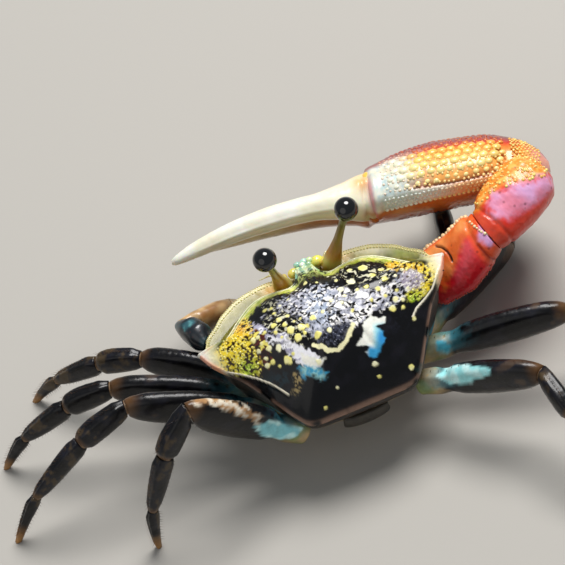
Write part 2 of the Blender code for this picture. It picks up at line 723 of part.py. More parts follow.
# The narrow tail: its route under the body from behind, half width there, and its joints,
# where the plates are drawn in a little.
TAIL_ROUTE = [
    (Vector((0.0, -10.2, -7.4)), 2.7), (Vector((0.0, -10.0, -8.8)), 2.8), (Vector((0.0, -8.7, -9.8)), 2.6),
    (Vector((0.0, -5.0, -10.1)), 2.1), (Vector((0.0, 0.0, -9.9)), 1.4), (Vector((0.0, 2.2, -9.4)), 0.7),
]
TAIL_PLATES = 7
TAIL_THICKNESS = 0.6
TAIL_PLATE = ((0.0, 0.9), (0.15, 1.0), (0.85, 1.0))      # place along a plate and size there
TAIL_STEP = 0.1                      # over which the tail's direction is read
TAIL_SIDES = 12


def on_tail(along):
    # Middle and half width of the tail at a place from 0 (rear) to 1 (tip).
    along = min(max(along, 0.0), 1.0) * (len(TAIL_ROUTE) - 1)
    index = min(int(along), len(TAIL_ROUTE) - 2)
    (near, near_width), (far, far_width) = TAIL_ROUTE[index], TAIL_ROUTE[index + 1]
    part = along - index
    return near.lerp(far, part), near_width + (far_width - near_width) * part


def build_abdomen(body_clearance):
    side = Vector((1, 0, 0))
    rings = []
    for plate in range(TAIL_PLATES):
        for share, size in TAIL_PLATE:
            along = (plate + share) / TAIL_PLATES
            centre, width = on_tail(along)
            axis = (on_tail(along + TAIL_STEP)[0] - on_tail(along - TAIL_STEP)[0]).normalized()
            half_up, half_side = TAIL_THICKNESS * size, width * size
            rings.append(ring_round(centre, side.cross(axis), side, half_up, half_side, TAIL_SIDES))
    tail = add_piece("abdomen", rings_to_solid(rings), "underside")
    cut_clear(tail, body_clearance)


# Mouth plate of the right side: its middle from the top down, and half width there.
MOUTHPART = [(1.75, 6.3, -3.6, 1.0), (1.75, 6.1, -5.6, 1.55), (1.6, 4.9, -8.2, 1.1)]
MOUTHPART_DEPTH = 1.0
MOUTHPART_FACING = Vector((0.0, 1.0, 0.2))


def build_mouthpart(side, body_clearance):
    mirror = 1.0 if side == "right" else -1.0
    forward = MOUTHPART_FACING.normalized()
    rings = []
    for x, y, z, width in MOUTHPART:
        centre = Vector((mirror * x, y, z))
        rings.append(ring_round(centre, forward, Vector((1, 0, 0)), MOUTHPART_DEPTH, width, LIMB_SIDES))
    plate = add_piece(f"mouthpart_{side}", rings_to_solid(rings), "underside")
    cut_clear(plate, body_clearance)


def stand_on_floor():
    # Centres the whole animal over the origin and sets its feet on z = 0.
    root = bpy.data.objects.new("fiddler_crab_root", None)
    crab.objects.link(root)
    pieces = [piece for piece in crab.objects if piece.type == "MESH"]
    corners = [vert.co for piece in pieces for vert in piece.data.vertices]
    low = Vector([min(corner[axis] for corner in corners) for axis in range(3)])
    high = Vector([max(corner[axis] for corner in corners) for axis in range(3)])
    root.location = (-(low.x + high.x) / 2, -(low.y + high.y) / 2, -low.z)
    for piece in crab.objects:
        if piece is not root:
            piece.parent = root
    bpy.context.view_layer.update()


def main():
    rim = whole_rim()
    carapace = build_carapace(rim)
    underbody = build_underbody(rim)
    body_clearance = swollen_copy(underbody, GAP)
    shell_clearance = swollen_copy(carapace, GAP)
    for side in ("right", "left"):
        build_eye(side, body_clearance, shell_clearance)
        build_mouthpart(side, body_clearance)
        for pair in (1, 2, 3, 4):
            build_leg(side, pair, body_clearance)
    build_abdomen(body_clearance)
    build_large_claw(body_clearance)
    build_small_claw(body_clearance)
    fuse_forms(underbody, shelf_beads(random.Random(BEAD_SEED)))
    for cutter in list(cutters.objects):
        bpy.data.objects.remove(cutter, do_unlink=True)
    stand_on_floor()


main()
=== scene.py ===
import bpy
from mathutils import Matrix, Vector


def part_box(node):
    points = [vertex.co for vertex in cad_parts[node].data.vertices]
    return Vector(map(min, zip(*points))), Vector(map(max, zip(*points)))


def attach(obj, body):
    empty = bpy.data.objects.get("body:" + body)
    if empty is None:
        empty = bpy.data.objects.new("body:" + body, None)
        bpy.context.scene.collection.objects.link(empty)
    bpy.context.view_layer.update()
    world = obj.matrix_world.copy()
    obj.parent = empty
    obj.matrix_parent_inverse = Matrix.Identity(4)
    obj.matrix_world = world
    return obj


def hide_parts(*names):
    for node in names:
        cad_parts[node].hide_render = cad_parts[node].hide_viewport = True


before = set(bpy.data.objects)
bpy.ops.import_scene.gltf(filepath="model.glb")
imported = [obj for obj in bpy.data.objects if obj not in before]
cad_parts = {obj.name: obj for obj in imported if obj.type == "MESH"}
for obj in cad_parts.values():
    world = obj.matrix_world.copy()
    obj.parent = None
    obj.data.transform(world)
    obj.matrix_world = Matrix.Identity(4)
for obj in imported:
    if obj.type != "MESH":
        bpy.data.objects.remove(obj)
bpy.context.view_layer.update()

import math

import bmesh
import bpy
import numpy as np
from mathutils import Matrix

# Everything is placed in the body frame, in millimetres: the crab faces +Y, its right side is
# at +X, and heights start midway between the two corner spines of the carapace.
eyeLow, eyeHigh = (np.array(corner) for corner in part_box("eye_right"))
eyeCentres = {"right": (6.54, 5.2, 7.92), "left": (-4.17, 3.0, 7.79)}
shift = (eyeLow + eyeHigh) / 2 * 1000 - eyeCentres["right"]
floorHeight = -shift[2]


# Numbers and curves

def unit(vector):
    vector = np.asarray(vector, float)
    return vector / np.linalg.norm(vector, axis=-1, keepdims=True)


def smooth(low, high, value):
    part = np.clip((value - low) / (high - low), 0, 1)
    return part * part * (3 - 2 * part)


def tone(code):
    # A colour from its six hex digits, as linear light.
    parts = np.array([int(code[i:i + 2], 16) for i in (0, 2, 4)]) / 255
    return np.where(parts <= 0.04045, parts / 12.92, ((parts + 0.055) / 1.055) ** 2.4)


def readTable(table, at):
    # Smooth curve through the rows of a table, without overshoot: first column against the rest.
    table = np.array(table, float)
    at = np.asarray(at, float)
    x, rows = table[:, 0], table[:, 1:]
    step = np.diff(x)[:, None]
    rise = np.diff(rows, axis=0) / step
    slope = np.zeros_like(rows)
    alike = rise[:-1] * rise[1:] > 0
    slope[1:-1] = np.where(alike, 2 * rise[:-1] * rise[1:] / np.where(alike, rise[:-1] + rise[1:], 1), 0)
    slope[0], slope[-1] = rise[0], rise[-1]
    k = np.clip(np.searchsorted(x, at) - 1, 0, len(x) - 2)
    t = np.clip((at - x[k]) / step[k, 0], 0, 1)[:, None]
    return (rows[k] * (2 * t ** 3 - 3 * t ** 2 + 1) + rows[k + 1] * (3 * t ** 2 - 2 * t ** 3)
            + step[k] * (slope[k] * (t ** 3 - 2 * t ** 2 + t) + slope[k + 1] * (t ** 3 - t ** 2)))


def throughPoints(points, count):
    # Smooth curve through points, at even distances.
    points = np.array(points, float)
    padded = np.vstack([2 * points[0] - points[1], points, 2 * points[-1] - points[-2]])
    t = np.linspace(0, 1, 24, endpoint=False)[:, None]
    runs = []
    for a, b, c, d in zip(padded, padded[1:], padded[2:], padded[3:]):
        runs.append(0.5 * (2 * b + (c - a) * t + (2 * a - 5 * b + 4 * c - d) * t ** 2
                           + (3 * b - a - 3 * c + d) * t ** 3))
    fine = np.vstack(runs + [points[-1:]])
    along = np.concatenate([[0], np.cumsum(np.linalg.norm(np.diff(fine, axis=0), axis=1))])
    even = np.linspace(0, along[-1], count)
    return np.stack([np.interp(even, along, fine[:, i]) for i in range(points.shape[1])], 1)


# Large odd numbers that mix a cell's three places and the seed into one random number.
mixers = (374761393, 668265263, 2147483629, 1013904223, 1274126177)


def scatter(places, seed):
    mixed = places[..., 0] * mixers[0] + places[..., 1] * mixers[1] + places[..., 2] * mixers[2]
    mixed = mixed + seed * mixers[3]
    mixed = (mixed ^ (mixed >> 13)) * mixers[4]
    return ((mixed ^ (mixed >> 16)) & 0xffffff) / 0xffffff


def noise(points, size, seed=0, layers=1):
    # Smooth noise from 0 to 1 with features of that size.
    total, weight = 0, 0
    for layer in range(layers):
        spread = points / size * 2 ** layer
        base = np.floor(spread).astype(np.int64)
        part = spread - base
        part = part * part * (3 - 2 * part)
        value = 0
        for corner in np.ndindex(2, 2, 2):
            share = np.prod(np.where(corner, part, 1 - part), axis=-1)
            value = value + share * scatter(base + np.array(corner), seed + layer)
        total = total + value / 2 ** layer
        weight += 1 / 2 ** layer
    return total / weight


def cells(points, size, seed=0):
    # Distance to the nearest scattered seed, in cells of that size, and a random value of it.
    spread = points / size
    base = np.floor(spread).astype(np.int64)
    first = np.full(len(points), 9.0)
    value = np.zeros(len(points))
    for near in np.ndindex(3, 3, 3):
        cell = base + np.array(near) - 1
        place = cell + np.stack([scatter(cell, seed + i) for i in (1, 2, 3)], -1)
        away = np.linalg.norm(place - spread, axis=1)
        closer = away < first
        value = np.where(closer, scatter(cell, seed + 4), value)
        first = np.where(closer, away, first)
    return first, value


# The photograph's view: directions to the image's right, up and towards the camera, and the
# pixel of the body frame's origin. Marks of the shell are given in its pixels.
imageRight = unit((0.921, -0.3348, -0.1986))
imageUp = np.array((0.3835, 0.6922, 0.6113))
imageUp = unit(imageUp - imageRight * imageRight.dot(imageUp))
towardCamera = np.cross(imageRight, imageUp)
pixelsPerMm = 8.93
originPixel = np.array((321.8, 306.8))


def toPixels(points):
    across = originPixel[0] + pixelsPerMm * (points @ imageRight)
    down = originPixel[1] - pixelsPerMm * (points @ imageUp)
    return np.stack([across, down], -1)


def lineDistance(pixels, route):
    # Distance to a polyline, and how far along it the nearest point lies, from 0 to 1.
    best = np.full(len(pixels), 1e9)
    place = np.zeros(len(pixels))
    route = np.array(route, float)
    for index, (a, b) in enumerate(zip(route, route[1:])):
        edge = b - a
        t = np.clip((pixels - a) @ edge / edge.dot(edge), 0, 1)
        away = np.linalg.norm(pixels - a - t[:, None] * edge, axis=1)
        closer = away < best
        best = np.where(closer, away, best)
        place = np.where(closer, (index + t) / (len(route) - 1), place)
    return best, place


def insideBy(pixels, outline):
    # How far inside a closed outline, negative outside.
    away, _ = lineDistance(pixels, list(outline) + [outline[0]])
    x, y = pixels[:, 0], pixels[:, 1]
    inside = np.zeros(len(pixels), bool)
    for (x0, y0), (x1, y1) in zip(outline, list(outline[1:]) + [outline[0]]):
        crosses = (y0 > y) != (y1 > y)
        if y0 != y1:
            inside ^= crosses & (x < (x1 - x0) * (y - y0) / (y1 - y0) + x0)
    return np.where(inside, away, -away)


def hump(value, centre, width):
    return np.exp(-((value - centre) / width) ** 2)


def mound(x, y, centre, reach):
    # A hump over a plane, with a reach of its own in each direction.
    return np.exp(-(((x - centre[0]) / reach[0]) ** 2 + ((y - centre[1]) / reach[1]) ** 2))


def bulge(wave, power):
    # A sine or cosine made fuller, for sections between round and square.
    return np.copysign(np.abs(wave) ** power, wave)


def twoNoises(points, smallSize, coarseSize, seed):
    # The fine and the coarse noise that break up a piece's paint.
    return noise(points, smallSize, seed, 2), noise(points, coarseSize, seed + 1, 2)


def circle(sides):
    # Angles at even steps round a ring.
    return np.linspace(0, 2 * math.pi, sides, endpoint=False)


def within(pixels, outline, soft, wobble):
    # Share of a mark of the photograph at each point, with its edge softened and made ragged.
    return smooth(-soft, soft, insideBy(pixels, outline) + wobble)


def blend(base, other, share):
    # Mixes two colours, each a hex code or an array, by a share for each point.
    base, other = (tone(each) if isinstance(each, str) else each for each in (base, other))
    return base + (other - base) * np.clip(share, 0, 1)[:, None]


def coats(tint, layers):
    # Paints one coat after another over a ground: each has its colour and its share.
    for colour, share in layers:
        tint = blend(tint, colour, share)
    return tint


# Meshes

def tube(rings, startHub=None, endHub=None):
    rings = np.asarray(rings)
    rows, sides = rings.shape[:2]
    startHub = rings[0].mean(0) if startHub is None else startHub
    endHub = rings[-1].mean(0) if endHub is None else endHub
    points = np.vstack([rings.reshape(-1, 3), [startHub], [endHub]])
    i, j = np.meshgrid(np.arange(rows - 1), np.arange(sides), indexing="ij")
    k = (j + 1) % sides
    quads = np.stack([i * sides + j, i * sides + k, (i + 1) * sides + k, (i + 1) * sides + j], -1)
    j = np.arange(sides)
    k = (j + 1) % sides
    last = (rows - 1) * sides
    first = np.stack([k, j, np.full(sides, rows * sides)], -1)
    final = np.stack([last + j, last + k, np.full(sides, rows * sides + 1)], -1)
    return points, quads.reshape(-1, 4).tolist() + first.tolist() + final.tolist()


def joinParts(parts):
    points, faces, start = [], [], 0
    for partPoints, partFaces in parts:
        points.append(partPoints)
        faces += [[index + start for index in face] for face in partFaces]
        start += len(partPoints)
    return np.vstack(points), faces


def roundEnds(rings, reach=0.35, steps=5):
    # Extra rings that close each end of a tube with a rounded brow instead of a flat lid.
    rings = np.asarray(rings)
    extra = [[], []]
    for side, (ring, inner) in enumerate(((rings[0], rings[1]), (rings[-1], rings[-2]))):
        centre = ring.mean(0)
        outward = unit(centre - inner.mean(0))
        for step in range(1, steps + 1):
            turn = math.pi / 2 * step / (steps + 0.6)
            extra[side].append(centre + (ring - centre) * math.cos(turn) + outward * reach * math.sin(turn))
    return np.concatenate([np.array(extra[0][::-1]), rings, np.array(extra[1])])


def addObject(name, data):
    made = bpy.data.objects.new(name, data)
    bpy.context.scene.collection.objects.link(made)
    return made


def finishPiece(name, mesh, nodes=()):
    piece = addObject(name, mesh)
    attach(piece, "root")
    if nodes:
        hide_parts(*nodes)


def withAlpha(tint):
    return np.hstack([tint, np.ones((len(tint), 1))])


def holdValues(mesh, label, values):
    # An attribute on the points of a mesh: a value, a vector or a colour for each.
    values = np.asarray(values, np.float32)
    kind, field = {1: ("FLOAT", "value"), 3: ("FLOAT_VECTOR", "vector"),
                   4: ("FLOAT_COLOR", "color")}[values.size // len(values)]
    mesh.attributes.new(label, kind, "POINT").data.foreach_set(field, values.ravel())


def makePiece(name, points, faces, finish, nodes, tint, rough):
    mesh = bpy.data.meshes.new(name)
    mesh.from_pydata(((points + shift) * 0.001).tolist(), [], faces)
    holdValues(mesh, "tint", withAlpha(tint))
    holdValues(mesh, "rough", rough)
    form = bmesh.new()
    form.from_mesh(mesh)
    bmesh.ops.recalc_face_normals(form, faces=form.faces)
    form.to_mesh(mesh)
    form.free()
    mesh.shade_smooth()
    mesh.materials.append(materials[finish])
    finishPiece(name, mesh, nodes)


def gridNormals(rings, outward):
    # Normals of a grid of rings, turned to the side of the given directions.
    along = np.gradient(rings, axis=0)
    around = np.roll(rings, -1, axis=1) - np.roll(rings, 1, axis=1)
    normal = np.cross(along, around).reshape(-1, 3)
    normal = normal / np.maximum(np.linalg.norm(normal, axis=1, keepdims=True), 1e-9)
    return normal * np.where(np.sum(normal * outward, 1) < 0, -1, 1)[:, None]


def seedPlaces(points, size, seed, share, least=0.5):
    # One point for each scattered seed that lies near the surface, where the share is high.
    first, value = cells(points, size, seed)
    order = np.lexsort((first, value))
    nearest = order[np.append(True, np.diff(value[order]) != 0)]
    return nearest[(first[nearest] < 0.42) & (share[nearest] > least)]


def addNode(tree, kind, fed={}, **values):
    # A node with the outputs that feed it, by its inputs, and with its settings: a property by its
    # own name, an input by its label.
    made = tree.nodes.new(kind)
    for key, value in values.items():
        if hasattr(made, key):
            setattr(made, key, value)
        else:
            made.inputs[key.replace("_", " ")].default_value = value
    for target, output in fed.items():
        tree.links.new(output, made.inputs[target])
    return made


def beadTree(pointed, sides, rings):
    # A bead or a cone on every point. The points hold its outward direction, its direction of
    # length and its size; the tree adds the random spin.
    tree = bpy.data.node_groups.new("beads", "GeometryNodeTree")
    tree.interface.new_socket("Points", in_out="INPUT", socket_type="NodeSocketGeometry")
    for label, kind in (("Seed", "NodeSocketInt"), ("Spin", "NodeSocketFloat"),
                        ("Skin", "NodeSocketMaterial")):
        tree.interface.new_socket(label, in_out="INPUT", socket_type=kind)
    tree.interface.new_socket("Beads", in_out="OUTPUT", socket_type="NodeSocketGeometry")

    given = addNode(tree, "NodeGroupInput")
    held = {label: addNode(tree, "GeometryNodeInputNamedAttribute", data_type="FLOAT_VECTOR",
                           Name=label).outputs["Attribute"]
            for label in ("outward", "along", "girth")}
    if pointed:
        form = addNode(tree, "GeometryNodeMeshCone", Vertices=sides, Side_Segments=rings, Radius_Top=0.06,
                       Radius_Bottom=1.0, Depth=1.0)
    else:
        form = addNode(tree, "GeometryNodeMeshUVSphere", Segments=sides, Rings=rings, Radius=1.0)
    upright = addNode(tree, "FunctionNodeAlignRotationToVector", {"Vector": held["outward"]}, axis="Z")
    turned = addNode(tree, "FunctionNodeAlignRotationToVector",
                     {"Rotation": upright.outputs["Rotation"], "Vector": held["along"]}, axis="X",
                     pivot_axis="Z")
    chance = addNode(tree, "FunctionNodeRandomValue", {"Seed": given.outputs["Seed"]}, data_type="FLOAT")
    spin = addNode(tree, "ShaderNodeMath", {0: chance.outputs[1], 1: given.outputs["Spin"]},
                   operation="MULTIPLY")
    twist = addNode(tree, "FunctionNodeAxisAngleToRotation", {"Angle": spin.outputs[0]}, Axis=(0, 0, 1))
    spun = addNode(tree, "FunctionNodeRotateRotation",
                   {"Rotation": turned.outputs["Rotation"], "Rotate By": twist.outputs["Rotation"]},
                   rotation_space="LOCAL")
    placed = addNode(tree, "GeometryNodeInstanceOnPoints",
                     {"Points": given.outputs["Points"], "Instance": form.outputs["Mesh"],
                      "Rotation": spun.outputs["Rotation"], "Scale": held["girth"]})
    real = addNode(tree, "GeometryNodeRealizeInstances", {"Geometry": placed.outputs["Instances"]})
    even = addNode(tree, "GeometryNodeSetShadeSmooth", {"Geometry": real.outputs["Geometry"]})
    skinned = addNode(tree, "GeometryNodeSetMaterial",
                      {"Geometry": even.outputs["Geometry"], "Material": given.outputs["Skin"]})
    addNode(tree, "NodeGroupOutput", {"Beads": skinned.outputs["Geometry"]})
    return tree


def growBeads(name, parts, finish, seed, spin, sides, rings, pointed=False):
    # One piece of beads. Each part holds places, outward and lengthwise directions, half sizes
    # (length, width, height), tints and roughness.
    places, outward, along, girth, tint, rough = (np.concatenate(rows) for rows in zip(*parts))
    mesh = bpy.data.meshes.new(name)
    mesh.from_pydata(((places + shift) * 0.001).tolist(), [], [])
    for label, values in (("outward", outward), ("along", along), ("girth", girth * 0.001),
                          ("tint", withAlpha(tint)), ("rough", rough)):
        holdValues(mesh, label, values)
    holder = addObject(name + "_points", mesh)
    modifier = holder.modifiers.new("beads", "NODES")
    modifier.node_group = beadTree(pointed, sides, rings)
    values = {"Seed": seed, "Spin": spin, "Skin": materials[finish]}
    for item in modifier.node_group.interface.items_tree:
        if item.name in values:
            modifier[item.identifier] = values[item.name]
    bpy.context.view_layer.update()
    grown = bpy.data.meshes.new_from_object(holder.evaluated_get(bpy.context.evaluated_depsgraph_get()))
    bpy.data.objects.remove(holder)
    for label in ("outward", "along", "girth"):
        grown.attributes.remove(grown.attributes[label])
    finishPiece(name, grown)


def beadRow(places, outward, along, sizes, code, rough=0.25):
    # The arrays of one group of beads from its places and either one size or one for each.
    count = len(places)
    along = np.tile(unit(along), (count, 1)) if np.ndim(along) == 1 else along
    sizes = np.array(np.broadcast_to(sizes, (count, 3)), float)
    tint = np.tile(tone(code), (count, 1)) if isinstance(code, str) else code
    return places, outward, along, sizes, tint, np.full(count, rough)


# Materials

def shellMaterial(name, recipe):
    # Painted chitin: its colour comes from the piece's own paint, broken up by fine noise, with
    # grain and pores as bump and a wet coat on top.
    material = bpy.data.materials.new(name)
    material.use_nodes = True
    tree = material.node_tree
    shader = tree.nodes["Principled BSDF"]
    link = tree.links.new

    place = addNode(tree, "ShaderNodeTexCoord").outputs["Object"]
    paint = addNode(tree, "ShaderNodeAttribute", attribute_name="tint").outputs["Color"]
    polish = addNode(tree, "ShaderNodeAttribute", attribute_name="rough").outputs["Fac"]

    clouds = addNode(tree, "ShaderNodeTexNoise", {"Vector": place}, Scale=recipe["clouds"][0], Detail=5.0,
                     Roughness=0.6)
    cloudRange = addNode(tree, "ShaderNodeMapRange", {"Value": clouds.outputs["Fac"]}, From_Min=0.25,
                         From_Max=0.75, To_Min=1 - recipe["clouds"][1], To_Max=1 + recipe["clouds"][1])
    scaled = addNode(tree, "ShaderNodeVectorMath", {0: paint, "Scale": cloudRange.outputs["Result"]},
                     operation="SCALE")

    specks = addNode(tree, "ShaderNodeTexVoronoi", {"Vector": place}, Scale=recipe["specks"][0])
    speckRange = addNode(tree, "ShaderNodeMapRange", {"Value": specks.outputs["Distance"]}, From_Min=0.08,
                         From_Max=0.22, To_Min=recipe["specks"][1], To_Max=0.0)
    spotted = addNode(tree, "ShaderNodeMix", {"Factor": speckRange.outputs["Result"], 6: scaled.outputs[0]},
                      data_type="RGBA")
    spotted.inputs[7].default_value = (*tone(recipe["specks"][2]), 1)
    link(spotted.outputs[2], shader.inputs["Base Color"])

    wear = addNode(tree, "ShaderNodeMath", {0: clouds.outputs["Fac"], 2: polish}, operation="MULTIPLY_ADD")
    wear.inputs[1].default_value = recipe["wear"]
    link(wear.outputs[0], shader.inputs["Roughness"])

    grain = addNode(tree, "ShaderNodeTexNoise", {"Vector": place}, Scale=recipe["grain"][0], Detail=4.0)
    pores = addNode(tree, "ShaderNodeTexVoronoi", {"Vector": place}, Scale=recipe["pores"][0])
    relief = addNode(tree, "ShaderNodeMath", {0: pores.outputs["Distance"], 2: grain.outputs["Fac"]},
                     operation="MULTIPLY_ADD")
    relief.inputs[1].default_value = recipe["pores"][1]
    bump = addNode(tree, "ShaderNodeBump", {"Height": relief.outputs[0]}, Strength=recipe["grain"][1],
                   Distance=recipe["grain"][2])
    link(bump.outputs["Normal"], shader.inputs["Normal"])

    sockets = {"Specular IOR Level": recipe.get("shine", 0.5), "Coat Weight": recipe["coat"][0],
               "Coat Roughness": recipe["coat"][1], "Subsurface Weight": recipe["glow"][0],
               "Subsurface Scale": recipe["glow"][1], "Subsurface Radius": (1.0, 0.55, 0.3)}
    for label, value in sockets.items():
        shader.inputs[label].default_value = value
    return material


finishes = {
    "carapace": {
        "clouds": (1500.0, 0.14), "specks": (5200.0, 0.30, "14120e"), "wear": 0.12,
        "grain": (5200.0, 0.16, 0.00004), "pores": (3600.0, -0.5), "coat": (0.16, 0.06),
        "glow": (0.03, 0.0004), "shine": 0.28},
    "rim": {
        "clouds": (1200.0, 0.14), "specks": (2600.0, 0.12, "6a5320"), "wear": 0.14,
        "grain": (3600.0, 0.22, 0.00005), "pores": (2200.0, -0.4), "coat": (0.22, 0.1),
        "glow": (0.15, 0.0009), "shine": 0.35},
    "claw": {
        "clouds": (700.0, 0.14), "specks": (1500.0, 0.16, "8a2a10"), "wear": 0.18,
        "grain": (2600.0, 0.22, 0.00006), "pores": (1500.0, -0.6), "coat": (0.5, 0.16),
        "glow": (0.12, 0.0008)},
    "finger": {
        "clouds": (420.0, 0.07), "specks": (1300.0, 0.05, "b99a55"), "wear": 0.16,
        "grain": (1900.0, 0.16, 0.00005), "pores": (1100.0, -0.5), "coat": (0.35, 0.2),
        "glow": (0.25, 0.0012)},
    "arm": {
        "clouds": (520.0, 0.12), "specks": (950.0, 0.5, "3a0a10"), "wear": 0.16,
        "grain": (2200.0, 0.24, 0.00006), "pores": (1200.0, -0.7), "coat": (0.3, 0.12),
        "glow": (0.08, 0.0008), "shine": 0.4},
    "leg": {
        "clouds": (900.0, 0.25), "specks": (2100.0, 0.2, "4a4636"), "wear": 0.2,
        "grain": (3000.0, 0.3, 0.00006), "pores": (1700.0, -0.6), "coat": (0.18, 0.1),
        "glow": (0.02, 0.0004), "shine": 0.25},
    "joint": {
        "clouds": (1500.0, 0.2), "specks": (2500.0, 0.2, "3a2414"), "wear": 0.2,
        "grain": (4200.0, 0.35, 0.00006), "pores": (2600.0, -0.6), "coat": (0.4, 0.2),
        "glow": (0.25, 0.0008)},
    "stalk": {
        "clouds": (900.0, 0.14), "specks": (2400.0, 0.15, "5a3a08"), "wear": 0.12,
        "grain": (2800.0, 0.15, 0.00004), "pores": (1800.0, -0.4), "coat": (0.8, 0.06),
        "glow": (0.5, 0.0008)},
    "eye": {
        "clouds": (2500.0, 0.3), "specks": (4000.0, 0.1, "10141c"), "wear": 0.04,
        "grain": (9000.0, 0.03, 0.00001), "pores": (9000.0, 0.6), "coat": (0.5, 0.02),
        "glow": (0.0, 0.0004)},
}
materials = {name: shellMaterial(name, recipe) for name, recipe in finishes.items()}


# Camera, floor and light

studio = {
    "distance": 1600.0, "frameWidth": 63.3, "aim": (-4.40, 2.72),
    "floorHalf": 1.5, "floorColour": (0.44, 0.42, 0.385, 1), "floorRoughness": 0.9,
    "skyColour": (0.84, 0.92, 1.0, 1), "skyStrength": 0.27,
    "lights": {
        "key": {"place": (0.165, 0.154, 0.50), "size": 0.30, "power": 3.7, "tint": (1.0, 0.985, 0.97)},
        "fill": {"place": (-0.5, -0.42, 0.42), "size": 0.8, "power": 0.8, "tint": (1.0, 0.96, 0.9)},
    },
}


def facing(right, up, back, place):
    turn = np.eye(4)
    turn[:3, 0], turn[:3, 1], turn[:3, 2], turn[:3, 3] = right, up, back, place
    return Matrix(turn.tolist())


def makeCamera():
    data = bpy.data.cameras.new("camera")
    data.sensor_width = 36.0
    data.lens = data.sensor_width * studio["distance"] / studio["frameWidth"]
    data.clip_end = 10.0
    camera = addObject("camera", data)
    right, up = studio["aim"]
    target = imageRight * right + imageUp * up + shift
    place = (target + towardCamera * studio["distance"]) * 0.001
    camera.matrix_world = facing(imageRight, imageUp, towardCamera, place)
    bpy.context.scene.camera = camera


def makeStage():
    mesh = bpy.data.meshes.new("floor")
    half = studio["floorHalf"]
    mesh.from_pydata([(-half, -half, 0), (half, -half, 0), (half, half, 0), (-half, half, 0)], [],
                     [(0, 1, 2, 3)])
    material = bpy.data.materials.new("floor")
    material.use_nodes = True
    shader = material.node_tree.nodes["Principled BSDF"]
    shader.inputs["Base Color"].default_value = studio["floorColour"]
    shader.inputs["Roughness"].default_value = studio["floorRoughness"]
    mesh.materials.append(material)
    floor = addObject("floor", mesh)


def makeLights():
    world = bpy.data.worlds.new("room")
    bpy.context.scene.world = world
    world.use_nodes = True
    sky = world.node_tree.nodes["Background"]
    sky.inputs["Color"].default_value = studio["skyColour"]
    sky.inputs["Strength"].default_value = studio["skyStrength"]
    for name, lamp in studio["lights"].items():
        data = bpy.data.lights.new(name, "AREA")
        data.shape = "DISK"
        data.size, data.energy, data.color = lamp["size"], lamp["power"], lamp["tint"]
        back = unit(lamp["place"])
        side = unit(np.cross((0, 1, 0), back))
        addObject(name, data).matrix_world = facing(side, np.cross(back, side), back, lamp["place"])


bpy.context.scene.view_settings.view_transform = "Standard"
makeCamera()
makeStage()
makeLights()
print("camera, floor and light made")


# Carapace

rimHalf = np.array([
    (0.0, 7.2, -0.5), (1.0, 6.9, -0.4), (1.25, 5.4, 0.4), (1.7, 4.1, 0.9), (2.6, 3.5, 1.0),
    (4.0, 3.7, 1.0), (5.8, 3.9, 0.9), (7.6, 3.4, 0.8), (9.4, 2.3, 0.5), (10.9, 1.1, 0.3),
    (12.3, 0.3, 0.1), (13.7, 0.3, 0.0), (15.0, 0.5, 0.0), (14.1, -1.6, -0.2), (12.9, -3.1, -0.6),
    (11.6, -4.4, -1.2), (10.4, -6.0, -2.0), (9.0, -8.0, -3.1), (7.6, -9.9, -4.2), (6.2, -11.2, -4.8),
    (3.2, -11.6, -4.6), (0.0, -11.7, -4.5),
])
spineIndex = 12
backCentre = np.array((0.0, -3.0, 0.0))
shell = {"crest": 3.6, "edge": 0.7, "ceiling": 0.4, "power": 2.4}


def wholeRim(frontCount, rearCount):
    front = throughPoints(rimHalf[:spineIndex + 1], frontCount)
    rear = throughPoints(rimHalf[spineIndex:], rearCount)
    right = np.vstack([front, rear[1:]])
    return np.vstack([right, right[1:-1][::-1] * (-1, 1, 1)])


def domeRing(rim, scale, drop, crest):
    flat = backCentre + (rim - backCentre) * scale
    edge = rim[:, 2] - drop
    flat[:, 2] = edge + (crest - edge) * (1 - scale ** shell["power"])
    return flat


# Marks of the carapace in the photograph, in pixels: across, down and width.
creamSpots = [
    (305.6, 283.6, 5.4), (312.8, 318, 7), (278.8, 320.2, 6), (274.5, 326, 6), (285, 324.6, 5),
    (290.9, 330.9, 8), (298, 337.6, 8), (301.6, 326.9, 8), (252.9, 340.7, 6), (268.6, 348.7, 6),
    (270.4, 354, 7), (278.8, 348.8, 7), (288.2, 360.4, 9), (272.6, 362.1, 5.5), (273.9, 313.9, 4),
    (287.3, 316.2, 4), (317.2, 334.5, 8), (267.7, 366.2, 6), (318.6, 360.8, 6), (293, 354, 4),
    (362.7, 268.4, 10), (349.3, 270.6, 6), (350.6, 281.3, 8), (372.5, 275.5, 6.5), (381, 270.2, 6),
    (389.5, 269.3, 6), (385, 279.1, 6), (340.8, 289.4, 6), (395.7, 299.2, 6), (393, 308.6, 7),
    (402.9, 300, 5), (403, 307.7, 5), (329.2, 330, 5), (413.6, 318.4, 4), (375.2, 363.9, 6),
    (411.8, 366.6, 6), (379, 376, 4), (326, 408, 4), (337, 388, 3), (258, 338, 4), (262, 344, 4),
    (265, 333, 4), (282, 338, 3.5), (294, 322, 3), (305, 333, 4), (276, 333, 4), (259, 352, 5),
    (266, 359, 4), (280, 366, 4), (300, 318, 3), (307, 325, 4), (357, 290, 4), (366, 287, 5),
    (378, 290, 5), (331, 301, 4), (342, 303, 4), (360, 304, 5), (352, 309, 4), (371, 300, 4),
    (386, 297, 4), (323, 312, 4), (397, 291, 4), (408, 289, 4), (345, 296, 3.5), (395, 276, 4),
    (402, 270, 4), (336, 281, 4), (328, 277, 3), (317, 283, 3), (296, 291, 3.5), (288, 299, 3.5),
    (280, 306, 3), (258, 316, 6), (265, 311, 6), (271, 309, 4),
]
ridgeLeft = [(199, 359), (213, 367), (227, 373), (241, 375), (257, 379), (271, 384), (289, 395)]
